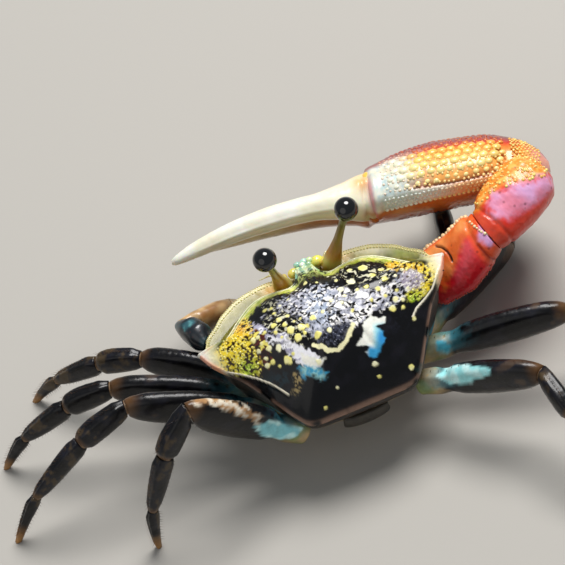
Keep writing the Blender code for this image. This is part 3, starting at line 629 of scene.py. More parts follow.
ridgeRight = [(444.6, 254), (441, 266), (436, 279), (432, 290), (425.5, 299), (416.6, 309), (413, 317)]
creamLine = [(313.6, 344.3), (321.6, 346), (327.9, 350.5), (338.6, 350.5), (345.7, 342.5), (349.3, 334.5),
             (352.9, 323.8)]
paleStreak = [(250, 328), (263, 333), (275, 338), (288, 342), (301.6, 355), (312, 361)]
zones = {
    "mosaic": [(262, 318), (281, 300), (300, 291), (322, 286), (345, 288), (372, 290), (392, 283),
               (404, 270), (420, 272), (423, 286), (408, 297), (392, 307), (372, 312), (360, 322),
               (352, 326), (346, 334), (334, 343), (318, 340), (306, 330), (300, 318), (286, 313),
               (272, 321)],
    "leftFlank": [(206, 357), (222, 345), (226, 334), (236, 322), (247, 318), (253, 330), (249, 340),
                  (257, 352), (263, 366), (260, 376), (241, 375), (227, 372), (213, 366)],
    "maroon": [(247, 334), (258, 330), (270, 345), (274, 362), (262, 372), (254, 358), (250, 346)],
    "rightFlank": [(386, 262), (404, 260), (421, 264), (436, 262), (440, 268), (434, 281), (424, 297),
                   (412, 303), (404, 296), (414, 286), (416, 274), (400, 270), (388, 270)],
    "blackLeft": [(258, 304), (272, 300), (278, 306), (274, 316), (262, 323), (268, 332), (282, 330),
                  (290, 342), (302, 346), (310, 336), (304, 322), (290, 315), (283, 308), (270, 318)],
    "blackRight": [(332, 276), (345, 268), (368, 264), (384, 267), (393, 272), (392, 283), (378, 285),
                   (360, 284), (348, 286), (336, 284)],
    "darkNet": [(322, 330), (340, 322), (352, 324), (344, 340), (330, 346), (318, 342)],
    "whitePatch": [(370, 315), (378, 318.4), (385.9, 316), (385, 323), (378.7, 324), (374.3, 326),
                   (381, 330), (384, 338), (380.5, 346), (372.5, 347), (366, 346), (356.4, 346),
                   (361.8, 337), (363.6, 330), (361.8, 324.6), (366, 319)],
    "bluePatch": [(376, 327), (382, 330), (385, 338), (381, 346), (376, 357), (369, 357), (366, 352),
                  (372, 344), (371, 336)],
    "blueLeft": [(300, 367), (312, 364), (322, 369), (327, 376), (320, 380), (310, 375), (302, 377)],
    "tanLeft": [(292, 373), (299, 373), (302, 384), (297, 396), (291, 392), (294, 383)],
    "whiteTip": [(300, 352), (312, 357), (325, 359), (322, 364), (311, 366), (303, 362)],
}


# Relief of the carapace in millimetres. Swells have a height, centre and reach; grooves a route,
# depth and width; rim lines a height, distance from the rim and width.
back = {
    "swells": [(0.16, (0, -1.2), (2.9, 2.6)), (0.20, (0, -7.4), (1.8, 1.7)),
               (0.22, (7.2, -3.0), (2.6, 2.0)), (0.14, (5.2, 1.2), (1.6, 1.3))],
    "grooves": [
        ([(1.5, 3.2), (3.4, 1.2), (4.1, -1.2), (3.1, -3.4), (2.4, -5.0), (2.6, -7.0), (3.6, -9.0)],
         0.26, 0.34),
        ([(0.0, -4.6), (1.4, -4.8), (2.5, -4.7)], 0.2, 0.3),
        ([(3.9, -0.8), (5.8, -1.6), (8.4, -1.3)], 0.12, 0.34),
        ([(0.0, 5.8), (0.0, 3.6), (0.0, 1.4)], 0.22, 0.22),
    ],
    "rimLines": [(0.12, 0.12, 0.1), (0.08, 0.55, 0.1), (-0.08, 0.34, 0.12)],
    "ridge": 0.20, "ridgeWidth": 1.5, "grain": 0.05, "grainSize": 0.34, "lump": 0.04, "lumpSize": 1.3,
    "spot": 0.07,
}


def carapaceRelief(points, pixels, spots, rimAway):
    x, y = np.abs(points[:, 0]), points[:, 1]
    flat = points * (1, 1, 0)
    swell = sum(height * mound(x, y, centre, reach) for height, centre, reach in back["swells"])
    groove = np.zeros(len(points))
    for route, depth, width in back["grooves"]:
        away, _ = lineDistance(np.stack([x, y], -1), route)
        groove += depth * hump(away, 0, width)
    away, _ = lineDistance(pixels, ridgeLeft)
    other, _ = lineDistance(pixels, ridgeRight)
    ridge = back["ridge"] * hump(np.minimum(away, other), 0, back["ridgeWidth"])
    first, value = cells(flat, back["grainSize"], 11)
    fleck = np.maximum.reduce([within(pixels, zones[name], 2, 0)
                               for name in ("mosaic", "leftFlank", "rightFlank")])
    grains = back["grain"] * (1 - smooth(0.1, 0.55, first)) * (0.4 + value) * (0.15 + 0.85 * fleck)
    lumps = back["lump"] * (noise(flat, back["lumpSize"], 3, 2) - 0.5)
    lines = sum(height * hump(rimAway, away, width) for height, away, width in back["rimLines"])
    margin = lines * smooth(-0.6, 0.8, points[:, 1])
    return swell - groove + ridge + grains + lumps + margin + back["spot"] * spots


def spotShare(points, pixels, places):
    # How far each point lies inside the rounded marks, which are even on the shell itself.
    share = np.zeros(len(points))
    wobble = 0.24 * (noise(points, 0.3, 5) - 0.5)
    for across, down, width in places:
        near = np.flatnonzero(np.abs(pixels[:, 0] - across) + np.abs(pixels[:, 1] - down) < 16)
        if len(near) == 0:
            continue
        centre = points[near[np.argmin(np.hypot(pixels[near, 0] - across, pixels[near, 1] - down))]]
        half = width / 2 / pixelsPerMm
        away = np.linalg.norm(points[near] - centre, axis=1) + wobble[near] * min(1.0, half / 0.35)
        share[near] = np.maximum(share[near], 1 - smooth(half - 0.07, half + 0.05, away))
    return share


def paintCarapace(points, pixels, scale, spots, rimAway):
    small, fine, coarse = noise(points, 0.35, 21, 2), noise(points, 0.16, 22), noise(points, 1.4, 23, 2)
    first, value = cells(points, 0.27, 31)
    tiny, tinyValue = cells(points, 0.17, 37)
    swirl = np.stack([noise(points, 0.6, at) - 0.5 for at in (51, 53, 55)], -1) * 0.7
    across, down = pixels.T

    def zone(name, soft=2.5, ragged=7.0):
        return within(pixels, zones[name], soft, ragged * (small - 0.5))

    def around(x, y, width, height=None):
        return mound(across, down, (x, y), (width, height or width))

    tint = coats("070608", [
        ("15131a", 0.6 * smooth(0.5, 0.75, coarse)),
        ("16303a", 0.7 * around(282, 380, 15, 10) * smooth(0.35, 0.6, small)),
        ("1a1a24", 0.6 * around(392, 322, 14, 10) * smooth(0.45, 0.6, small)),
    ])

    # Grey and white mosaic of the middle: sharp white patches, black specks and thin black lines.
    body = coats("8e8f9c", [
        ("c6c5d0", smooth(0.35, 0.6, noise(points, 0.3, 25))),
        ("9fb0c6", 0.7 * around(322, 308, 14, 20)),
    ])
    white = (noise(points + swirl, 0.55, 24, 2) + 0.12 * smooth(340, 370, across)
             - 0.05 * smooth(316, 300, across))
    body = blend(body, "f4f1ee", smooth(0.56, 0.60, white))
    dark = (noise(points + swirl, 0.27, 27) + 0.06 * smooth(322, 300, across)
            - 0.08 * around(322, 306, 12, 16))
    threads = 1 - smooth(0.012, 0.035, np.abs(noise(points + swirl, 0.8, 28) - 0.5))
    body = coats(body, [
        ("0a090c", smooth(0.63, 0.67, dark)),
        ("0c0b10", threads * smooth(0.4, 0.55, coarse + 0.1 * smooth(322, 300, across))),
        ("0c0b10", (1 - smooth(0.18, 0.30, tiny)) * (tinyValue > 0.66)),
    ])
    tint = blend(tint, body, zone("mosaic", 1.6, 11.0))

    streakAway, streakPlace = lineDistance(pixels, paleStreak)
    streak = 1 - smooth(5.5, 7.5, streakAway + 7.0 * (small - 0.5) - 1.5 * smooth(0.2, 0.6, streakPlace))
    streakTone = coats("aeabbe", [
        ("f1eff4", smooth(0.5, 0.6, 0.45 * streakPlace + 0.7 * noise(points + swirl, 0.5, 29))),
        ("100e14", smooth(0.62, 0.67, dark) * smooth(0.8, 0.3, streakPlace)),
        ("16141a", (1 - smooth(0.2, 0.34, tiny)) * (tinyValue > 0.74) * (streakPlace < 0.7)),
    ])
    tint = blend(tint, streakTone, streak)

    for name in ("blackLeft", "blackRight"):
        black = coats("080608", [
            ("d8d08a", (1 - smooth(0.14, 0.3, tiny)) * (tinyValue > 0.80)),
            ("cfcbb0", smooth(0.70, 0.74, dark)),
        ])
        tint = blend(tint, black, zone(name, 1.6, 9.0))
    net = coats("3a3d4c", [
        ("b9bcc9", (1 - smooth(0.15, 0.35, tiny)) * (tinyValue > 0.4)),
        ("0a0a10", 0.9 * smooth(0.45, 0.58, fine)),
    ])
    tint = blend(tint, net, zone("darkNet", 4.0))
    maroon = coats("1c0806", [
        ("5a1c10", smooth(0.45, 0.7, small)),
        ("efe06c", smooth(0.56, 0.60, noise(points + swirl, 0.5, 30, 2))),
    ])
    tint = blend(tint, maroon, zone("maroon", 2.0, 8.0))

    # The lime band behind the upper margin of the eye sockets, from spine to spine.
    ahead = smooth(-0.8, 0.8, points[:, 1]) * (np.abs(points[:, 0]) > 1.5)
    widening = 0.35 * smooth(9, 12, np.abs(points[:, 0]))
    band = (1 - smooth(1.25, 1.8, rimAway + 1.3 * (small - 0.5) - widening)) * ahead
    bandTone = coats("b4c03e", [
        ("e8e488", smooth(0.35, 0.65, small)),
        ("7c9a30", 0.6 * smooth(0.55, 0.8, coarse)),
        ("1e2210", (1 - smooth(0.16, 0.3, tiny)) * (tinyValue > 0.7) * smooth(0.8, 1.2, rimAway)),
    ])
    tint = blend(tint, bandTone, band)

    # Yellow of the flanks with dark specks, pale grains, and some orange and lime.
    for name, orangeAt, limeAt in (("leftFlank", (241, 329, 7), (249, 369, 11)),
                                   ("rightFlank", (391, 267, 6), (414, 299, 9))):
        toOrange = around(*orangeAt)
        toLime = around(*limeAt)
        ground = coats("ecd02c", [
            ("d8a422", smooth(0.5, 0.8, coarse)),
            ("e0982a", 0.8 * toOrange),
            ("96bc28", toLime),
        ])
        grain = coats("f2e25c", [
            ("f8f0a8", value),
            ("f6bc48", 0.7 * toOrange),
            ("d0e450", 0.8 * toLime),
        ])
        ground = coats(ground, [
            (grain, 1 - smooth(0.3, 0.48, first)),
            ("2e1c08", smooth(0.60, 0.65,
                              noise(points + 0.5 * swirl, 0.24, 33)
                              + 0.07 * smooth(232, 250, across) * (name == "leftFlank") - 0.05 * toOrange)),
        ])
        tint = blend(tint, ground, zone(name, 1.8, 7.0))

    # Granular pale patch of the right flank.
    paleTone = coats("9a90a0", [
        ("efe9e4", 1 - smooth(0.3, 0.5, first)),
        ("5a4c40", smooth(0.64, 0.7, dark)),
    ])
    tint = blend(tint, paleTone, 0.95 * smooth(0.3, 0.5, around(412, 280, 12, 11) - 0.5 * (small - 0.5)))

    # Turquoise, white and tan marks.
    tint = coats(tint, [
        (blend("9ad2d4", "3a9cc4", smooth(0.35, 0.7, small)), zone("blueLeft", 3.0, 9.0)),
        (blend("a89262", "1c1810", smooth(0.45, 0.6, fine)), 0.9 * zone("tanLeft", 2.0, 8.0)),
        ("eeece0", zone("whiteTip", 1.5, 5.0)),
    ])
    patchTone = coats("f3f3e8", [
        ("a6e0e6", smooth(370, 377, across + 2 * (small - 0.5)) * smooth(320, 328, down)),
        ("52b4de", smooth(374, 382, across + 0.15 * (down - 335)) * smooth(322, 334, down)),
        ("2f8fd2", around(382, 338, 5, 9)),
        ("3aa0d4", smooth(342, 350, down) * smooth(364, 370, across)),
    ])
    patch = np.maximum(zone("whitePatch", 0.8, 3.0), zone("bluePatch", 1.2, 3.0))
    tint = blend(tint, patchTone, patch)
    lineAway, _ = lineDistance(pixels, creamLine)
    tint = blend(tint, "f6efbe", 1 - smooth(1.8, 2.6, lineAway + 2.4 * (small - 0.5)))
    spotTone = blend("f2e886", "faf6cc", smooth(0.4, 0.7, coarse))
    tint = blend(tint, spotTone, spots)
    rough = 0.14 + 0.16 * (tint.mean(1) > 0.2)

    # Rims: pale upper margin of the sockets with its double line, ridges of the flanks, spines.
    line = hump(rimAway, 0.10, 0.11) + 0.85 * hump(rimAway, 0.55, 0.09)
    tint = coats(tint, [
        ("8a9436", 0.75 * ahead * smooth(0.16, 0.24, rimAway) * smooth(0.56, 0.46, rimAway)),
        ("f6f2dc", np.clip(line, 0, 1) * ahead),
    ])
    rear = smooth(-3.0, -5.0, points[:, 1]) * (scale > 0)
    tint = blend(tint, "a07c68", 0.7 * rear * hump(rimAway, 0.02, 0.11) * smooth(0.3, 0.55, coarse))
    ridge = np.minimum(lineDistance(pixels, ridgeLeft)[0], lineDistance(pixels, ridgeRight)[0])
    tint = blend(tint, "efe6cf", 1 - smooth(0.5, 1.2, ridge + 0.5 * (small - 0.5)))
    outer = np.abs(points[:, 0])
    spine = smooth(12.3, 13.5, outer + 0.5 * (small - 0.5))
    tint = coats(tint, [
        (blend("e9e2b4", "f6efe4", smooth(13.3, 14.4, outer)), 0.9 * spine),
        ("e68a5e", 0.8 * smooth(12.6, 13.6, outer) * (points[:, 1] < 0.1) * hump(rimAway, 0.05, 0.22)),
    ])
    lobe = smooth(2.5, 1.8, outer) * smooth(2.0, 3.4, points[:, 1] + 1.6 * (small - 0.5))
    stripes = 0.5 + 0.5 * np.sin(points[:, 0] * 7.0 + 2.0 * small)
    lobeTone = coats("7fae96", [
        ("dce8c4", smooth(0.35, 0.65, stripes)),
        ("b4c85a", 0.6 * smooth(0.5, 0.7, coarse)),
        ("a9b44a", 0.8 * smooth(4.6, 3.4, points[:, 1])),
        ("1c2012", smooth(0.58, 0.63, dark) * smooth(5.2, 4.0, points[:, 1])),
    ])
    tint = blend(tint, lobeTone, lobe)
    tint[scale < 0] = tone("3a3226")
    return tint, rough


def makeCarapace():
    rim = wholeRim(168, 150)
    under = [(s, domeRing(rim, s, shell["edge"], shell["ceiling"])) for s in (0.3, 0.6, 0.85, 0.96, 0.985)]
    brow = []
    for scale, drop in ((0.996, 0.52), (1.0, 0.36), (0.9985, 0.2), (0.994, 0.07)):
        ring = backCentre + (rim - backCentre) * scale
        ring[:, 2] = rim[:, 2] - drop
        brow.append((scale, ring))
    scales = 0.988 * (1 - np.linspace(0, 1, 112) ** 1.1 * 0.992)
    over = [(s, domeRing(rim, s, 0.0, shell["crest"])) for s in scales]
    rings = np.array([ring for _, ring in under + brow + over])
    scale = np.repeat([-1.0] * len(under) + [s for s, _ in brow + over], len(rim))
    points, faces = tube(rings)
    scale = np.append(scale, [-1.0, 0.01])
    pixels = toPixels(points)
    top = scale > 0
    rimAway, _ = lineDistance(points[:, :2], rim[::3, :2])
    spots = np.where(top, spotShare(points, pixels, creamSpots), 0)
    fade = np.where(top, smooth(1.0, 0.985, scale) * 0.85 + 0.15 * (scale > 0.99), 0)
    points = points + np.outer(carapaceRelief(points, pixels, spots, rimAway) * fade, (0, 0, 1))
    tint, rough = paintCarapace(points, pixels, scale, spots, rimAway)
    makePiece("shell_carapace", points, faces, "carapace", ["carapace"], tint, rough)

    # Raised grains of both flanks.
    grid = points[:-2].reshape(len(rings), len(rim), 3)
    normal = gridNormals(grid, np.array((0, 0, 1.0)))
    flank = np.maximum(within(pixels, zones["leftFlank"], 1, 0), within(pixels, zones["rightFlank"], 1, 0))
    share = (flank * top * (rimAway > 0.7) * (np.abs(points[:, 0]) < 13.2))[:-2]
    chosen = seedPlaces(points[:-2], 0.36, 43, share * (tint[:-2].mean(1) > 0.15))
    size = np.random.default_rng(3).uniform(0.09, 0.15, len(chosen))
    grains = beadRow(points[chosen] - normal[chosen] * 0.02, normal[chosen], (1, 0, 0),
                     size[:, None] * (1, 1, 0.8),
                     blend(tint[chosen], "f8f0a0", np.full(len(chosen), 0.35)), 0.2)
    growBeads("shell_flank_grains", [grains], "carapace", 8, 3.0, 8, 5)


makeCarapace()
print("carapace made")


# Body below the carapace

bodyLevels = [
    (0.985, 0.0, 0.95, -3.4, -0.3), (0.985, 0.06, 0.93, -3.4, -0.6), (0.98, 0.14, 0.91, -2.6, -2.3),
    (0.97, 0.22, 0.93, -0.7, -1.9), (0.96, 0.26, 0.94, 0.0, -1.7), (0.94, 0.34, 0.94, 0.0, -2.5),
    (0.90, 0.52, 0.87, -0.9, -3.6), (0.84, 0.76, 0.74, -1.8, -6.4), (0.74, 0.94, 0.60, -3.0, -8.6),
    (0.55, 1.0, 0.44, -4.6, -9.4),
]
socketShelf = [(0.0, 6.6), (2.5, 7.3), (4.5, 7.7), (7.5, 7.3), (10.3, 5.9), (12.8, 4.0), (13.9, 2.0),
               (15.5, 0.0)]
underside = -9.6
# Beads of the shelf: rows by wall row and bead size, and the gap between beads in bead sizes.
shelfBeads = {"rows": ((27, 0.14), (33, 0.1)), "length": 24, "gap": 1.75, "code": "d8cc8c"}
# Plates of the breast: each groove runs from the trough of the tail out to a leg.
breast = {
    "grooves": [((2.2, 1.6), (8.6, 3.4)), ((2.6, -1.0), (9.4, -0.2)), ((2.8, -3.6), (9.6, -3.4)),
                ((2.8, -6.2), (8.6, -7.0))],
    "depth": 0.28, "width": 0.2, "pleat": 0.22, "pleatWidth": 0.16,
}


def bodyRing(rim, level):
    sideScale, depth, frontWidth, reach, frontHeight = level
    front = smooth(0, 1, (rim[:, 1] + 3.5) / 4.5)[:, None]
    top = rim[:, 2] - shell["edge"] - 0.05
    side = backCentre + (rim - backCentre) * sideScale
    side[:, 1] += 1.2 * depth * smooth(0, 1, (-rim[:, 1] - 8.0) / 3.0)
    side[:, 2] = top + (underside - top) * depth
    across = rim[:, 0] * frontWidth
    shelf = readTable(socketShelf, np.abs(across))[:, 0] + reach
    fore = np.stack([across, shelf, np.full(len(rim), frontHeight)], -1)
    return side + (fore - side) * front


def makeUnderbody():
    rim = wholeRim(120, 110)
    steps = np.linspace(0, len(bodyLevels) - 1, 74)
    levels = readTable([(i, *level) for i, level in enumerate(bodyLevels)], steps)
    walls = [bodyRing(rim, level) for level in levels]
    last = walls[-1]
    centre = np.array((0.0, -3.0, underside))
    floor = [centre + (last - centre) * s for s in np.linspace(0.96, 0.06, 16)]
    roof = [domeRing(rim, s, shell["edge"] + 0.1, shell["ceiling"] - 0.2) for s in (0.3, 0.6, 0.8)]
    rings = np.array(roof + walls + floor)
    points, faces = tube(rings, endHub=centre)
    x, y, z = np.abs(points[:, 0]), points[:, 1], points[:, 2]
    small, coarse = twoNoises(points, 0.4, 1.8, 61)
    groove = np.zeros(len(points))
    for route in breast["grooves"]:
        away, _ = lineDistance(np.stack([x, y], -1), route)
        groove += breast["depth"] * hump(away, 0, breast["width"])
    groove *= smooth(-8.2, -9.2, z)
    pleat = breast["pleat"] * hump(z + 5.4 - 0.12 * x, 0, breast["pleatWidth"]) * smooth(0.5, 2.5, y)
    points = points + np.outer(groove, (0, 0, 1)) - np.outer(pleat, (0, 1, 0))
    points = points + np.outer(0.05 * (small - 0.5), (0, 0, 1))

    tint = coats("b89a72", [
        ("d8c8a0", smooth(0.35, 0.7, coarse)),
        ("7a5a3a", 0.5 * smooth(0.5, 0.75, small)),
    ])
    # The upper side wall under the carapace's edge is painted dark, lighter lower down: partly the wall's
    # own dark colour, partly painted shade under the overhanging carapace.
    sideWall = smooth(-8.6, -7.0, z) * smooth(1.0, -1.0, y)
    sideTone = coats("14110f", [
        ("2c241a", smooth(0.4, 0.7, coarse)),
        ("8a6e4c", smooth(-6.0, -8.4, z) * 0.8),
    ])
    tint = blend(tint, sideTone, sideWall)
    blueAway = np.hypot((y + 5.2) / 2.6, (z + 6.8) / 1.2)
    tint = blend(tint, "3f9fb8", sideWall * (1 - smooth(0.7, 1.1, blueAway + 0.6 * (small - 0.5))))
    shelf = smooth(0.0, 1.6, y) * smooth(-4.6, -3.0, z)
    shelfTone = coats("5c5c1c", [
        ("8c8636", smooth(0.35, 0.65, coarse)),
        ("4a5420", 0.6 * smooth(0.55, 0.8, small)),
    ])
    across, down = toPixels(points).T

    def around(x, y, width, height):
        return mound(across, down, (x, y), (width, height))

    streaks = 0.5 + 0.5 * np.sin(points[:, 0] * 5.0 + 3.0 * coarse)
    shelfTone = coats(shelfTone, [
        ("cfc88c", 0.4 * smooth(0.6, 0.9, streaks) * smooth(0.45, 0.6, small)),
        ("d89a20", 0.85 * np.clip(around(268, 288, 16, 12) + around(342, 252, 9, 8), 0, 1)),
        ("e6e0ca", 0.8 * around(376, 249, 20, 5)),
        ("7f8c3c", 0.85 * around(401, 251, 13, 6)),
        ("ece6c8", 0.8 * smooth(12.4, 13.4, x)),
        ("77700f", 0.7 * smooth(-3.5, -6.0, points[:, 0]) * smooth(0.2, 0.5, coarse + 0.15)),
    ])
    tint = blend(tint, shelfTone, shelf)
    lip = hump(z, -1.72, 0.16) * smooth(0.4, 1.6, y)
    behind = readTable([(-3.4, -3.4), (9, 9)], y)[:, 0] - readTable(socketShelf, x)[:, 0]
    tint = coats(tint, [
        ("e4daa0", 0.8 * lip),
        ("4c4a1c", 0.7 * smooth(-1.2, -2.2, behind) * shelf * (z < -0.9)),
    ])
    rough = 0.28 + 0.12 * small
    makePiece("shell_underbody", points, faces, "rim", ["underbody"], tint, rough)
    # Small pale beads along the edge of the shelf under both eyes.
    groups = []
    for row, size in shelfBeads["rows"]:
        edge = walls[row][walls[row][:, 1] > 0.6]
        edge = edge[np.argsort(edge[:, 0])]
        edge = throughPoints(edge[::3], int(shelfBeads["length"] / (shelfBeads["gap"] * size)))
        outward = unit((edge - (0, -3.0, 0)) * (1, 1, 0) + (0, 0, 3.0))
        groups.append(beadRow(edge, outward, (1, 0, 0), (size, size * 0.8, size * 0.8), shelfBeads["code"]))
    growBeads("shell_shelf_beads", groups, "rim", 9, 0.4, 8, 5)


makeUnderbody()
print("body made")


# Eyes and stalks

def sphereParts(centre, radius, rows, sides):
    around = circle(sides)
    ring = np.stack([np.cos(around), np.sin(around), np.zeros(sides)], -1)
    turns = np.linspace(0, math.pi, rows + 2)[1:-1]
    rings = np.array([ring * math.sin(turn) + (0, 0, math.cos(turn)) for turn in turns]) * radius
    points, faces = tube(rings, np.array((0, 0, radius)), np.array((0, 0, -radius)))
    return points + np.asarray(centre, float), faces


eye = {"radius": 1.38, "draw": 0.10, "stalkEnd": 1.05}
stalkRoots = {"right": (2.7, 5.7, -1.6), "left": (-2.7, 5.5, -1.6)}
stalkTable = [(0, 1.0), (0.12, 1.12), (0.25, 1.0), (0.4, 0.75), (0.62, 0.48), (0.85, 0.42), (0.93, 0.52),
              (1.0, 0.7)]


def ringsAlong(start, end, up, table, sides, places, startPlane=None, endPlane=None):
    # Round sections along a straight axis. Table: place, half height, half depth, lift. An end
    # with a plane, held as point and normal, is slanted to lie in it.
    start, end = np.array(start, float), np.array(end, float)
    axis = unit(end - start)
    side = unit(np.cross(axis, up))
    rise = np.cross(side, axis)
    turn = circle(sides)
    rows = readTable(table, places)
    high = bulge(np.sin(turn), 0.9)
    wide = bulge(np.cos(turn), 0.9)
    centres = start + (end - start) * np.asarray(places)[:, None] + rise * rows[:, 2:3]
    rings = (centres[:, None] + rise * (high[None, :, None] * rows[:, 0][:, None, None])
             + side * (wide[None, :, None] * rows[:, 1][:, None, None]))
    for plane, edge, weight in ((startPlane, 0, smooth(0.3, 0.0, places)),
                                (endPlane, -1, smooth(0.7, 1.0, places))):
        if plane is not None:
            slide = (plane[0] - rings[edge]) @ plane[1] / axis.dot(plane[1])
            rings = rings + weight[:, None, None] * slide[None, :, None] * axis
    return rings


def limbRings(joints, index, up, table, sides, count, floorTip=False):
    # The sections of one segment of a limb, mitred against its neighbours.
    axes = [unit(np.subtract(b, a)) for a, b in zip(joints, joints[1:])]
    start, end = np.array(joints[index], float), np.array(joints[index + 1], float)
    startPlane = endPlane = None
    if index > 0:
        normal = unit(axes[index - 1] + axes[index])
        startPlane = (start + normal * 0.12, normal)
    if index < len(axes) - 1:
        normal = unit(axes[index] + axes[index + 1])
        endPlane = (end - normal * 0.12, normal)
    elif floorTip:
        endPlane = (np.array((0, 0, floorHeight)), np.array((0, 0, 1.0)))
    return ringsAlong(start, end, up, table, sides, np.linspace(0, 1, count), startPlane, endPlane)


def makeEyes():
    for side, centre in eyeCentres.items():
        centre = np.array(centre)
        root = np.array(stalkRoots[side])
        axis = unit(centre - root)
        points, faces = sphereParts((0, 0, 0), eye["radius"], 44, 64)
        # The eye draws out a little towards its stalk.
        along = points @ axis
        points = points + np.outer(-eye["draw"] * smooth(0.3, eye["radius"], -along), axis)
        collar = 1 - smooth(-1.32, -1.12, along)
        tint = blend("07080b", "8a6a1c", collar)
        makePiece(f"eye_{side}_globe", points + centre, faces, "eye", [f"eye_{side}"],
                  tint, np.full(len(points), 0.05) + 0.25 * collar)
        top = centre - axis * eye["stalkEnd"]
        table = [(place, radius, radius, 0.0) for place, radius in stalkTable]
        rings = ringsAlong(root, top, (0, 1, 0.01), table, 44, np.linspace(0, 1, 90))
        points, faces = tube(roundEnds(rings, 0.2))
        place = np.clip((points - root) @ axis / np.linalg.norm(top - root), 0, 1)
        small = noise(points, 0.5, 71, 2)
        tint = coats("b8820e", [
            ("846612", smooth(0.3, 0.6, place)),
            ("5c5316", smooth(0.6, 0.95, place)),
            ("c8941c", 0.6 * (side == "left") * smooth(0.85, 0.5, place)),
            ("d2c868", 0.7 * hump(place, 0.22, 0.07)),
            ("8a3f12", 0.6 * hump(place, 0.42, 0.12) * small),
            ("e0d48a", 0.5 * smooth(0.6, 1.0, -np.cross(axis, (0, 1, 0)) @ (points - root).T / 0.9)),
        ])
        makePiece(f"eye_{side}_stalk", points, faces, "stalk", [f"eyestalk_{side}"],
                  tint, np.full(len(points), 0.22) + 0.1 * small)


antenna = {"reaches": ((2.4, 0.0), (1.2, 0.3)), "rootRadius": 0.15, "thinning": 0.11, "rings": 0.12,
           "steps": 40}


# Domes beside the narrow front lobe and small knobs on it: place, size and colour.
faceKnobs = [
    (1.80, 6.86, -0.5, 0.78, "e4de6a"), (-1.19, 6.5, -0.5, 0.68, "dcd26c"),
    (0.4, 7.35, -0.35, 0.5, "b4dccc"), (-0.45, 7.2, -0.2, 0.42, "9cc8b8"),
    (1.05, 7.15, -0.15, 0.42, "cfe6b4"), (0.05, 6.55, 0.25, 0.36, "e8f2dc"),
    (0.75, 6.3, 0.3, 0.32, "a8cca4"), (-0.6, 6.2, 0.2, 0.3, "d4e4a8"), (0.2, 5.7, 0.5, 0.3, "c2dcc0"),
    (2.5, 7.1, -1.0, 0.5, "c8b85a"), (-2.4, 6.9, -1.0, 0.5, "c8b85a"), (3.2, 7.35, -1.3, 0.42, "b8a44c"),
    (-3.2, 7.1, -1.3, 0.42, "b8a44c"),
]


def makeFace():
    places = np.array([knob[:3] for knob in faceKnobs])
    sizes = np.array([knob[3] for knob in faceKnobs])[:, None] * (1.0, 0.9, 0.85)
    tints = np.array([tone(knob[4]) for knob in faceKnobs])
    outward = np.tile(unit((0, 0.5, 1)), (len(places), 1))
    knobs = beadRow(places, outward, (1, 0, 0), sizes, tints, 0.2)
    growBeads("face_knobs", [knobs], "stalk", 2, 0.4, 28, 18)
    parts = []
    for mirror in (1, -1):
        for reach, bend in antenna["reaches"]:
            route = [(2.6, 7.2, -1.1), (2.6 + reach * 0.4, 7.8, -0.9 + bend * 0.4),
                     (2.6 + reach, 8.1, -1.25 + bend)]
            route = throughPoints(route, antenna["steps"]) * (mirror, 1, 1)
            last = antenna["steps"] - 1
            turn = circle(10)
            rings = []
            for index, centre in enumerate(route):
                axis = unit(route[min(index + 1, last)] - route[max(index - 1, 0)])
                side = unit(np.cross(axis, (0, 1, 0.3)))
                radius = antenna["rootRadius"] - antenna["thinning"] * index / last
                radius = radius * (1 + antenna["rings"] * math.cos(index * 1.6))
                circuit = np.outer(np.cos(turn), side) + np.outer(np.sin(turn), np.cross(side, axis))
                rings.append(centre + radius * circuit)
            parts.append(tube(rings))
    points, faces = joinParts(parts)
    small = noise(points, 0.4, 75, 2)
    tint = blend("a89a4c", "e4dcb0", small)
    makePiece("antennae", points, faces, "stalk", (), tint, 0.25 + 0.1 * small)


makeEyes()
makeFace()
print("eyes made")


# Large claw

# The claw's frame: its hinge and heel, and how far the palm leans out from upright.
clawHinge = np.array((10.28, 11.0, 0.84))
clawHeel = np.array((30.1, 7.0, -1.0))
clawLean = math.radians(35)
clawAlong = unit(clawHinge - clawHeel)
clawRise = np.array((0, -math.sin(clawLean), math.cos(clawLean)))
clawRise = unit(clawRise - clawAlong * clawRise.dot(clawAlong))
clawOut = unit(np.cross(clawRise, clawAlong))
clawOut = clawOut * np.sign(clawOut[1])

# How far the claw bows outwards past the hinge: by distance, less by distance squared.
clawBow = (0.11, 0.0092)

# Both halves of the claw by distance from the hinge: lower and upper edge, inner and outer swell.
palmTable = [
    (-20.4, -3.6, -0.2, 0.6, 0.8), (-19.4, -6.0, 1.9, 1.5, 2.4), (-17.0, -9.0, 3.7, 1.8, 4.1),
    (-13.0, -11.2, 4.6, 2.0, 5.2), (-8.0, -12.0, 4.9, 2.1, 5.4), (-4.0, -11.8, 4.5, 2.2, 4.9),
    (-1.2, -11.3, 3.9, 2.3, 4.2), (0.0, -11.1, 3.5, 2.3, 3.8), (0.7, -11.0, -3.9, 2.4, 3.0),
    (2.2, -10.7, -4.9, 2.0, 2.4), (6.0, -10.4, -5.9, 1.6, 1.7), (11.0, -10.0, -6.5, 1.4, 1.4),
    (15.5, -8.9, -6.2, 1.1, 1.0), (18.5, -7.4, -5.4, 0.8, 0.7), (20.4, -6.1, -5.0, 0.4, 0.35),
]
fingerTable = [
    (-0.5, -2.6, 2.8, 2.0, 2.6), (0.1, -3.0, 3.1, 2.3, 3.0), (1.2, -3.4, 3.4, 2.4, 2.8),
    (3.2, -3.2, 3.3, 2.0, 2.1), (7.0, -2.9, 2.7, 1.5, 1.4), (12.0, -3.2, 1.6, 1.4, 1.3),
    (17.0, -4.0, -0.2, 1.2, 1.1), (20.6, -4.7, -1.9, 0.95, 0.85), (22.8, -4.9, -3.2, 0.6, 0.5),
    (23.4, -4.7, -3.8, 0.3, 0.25),
]


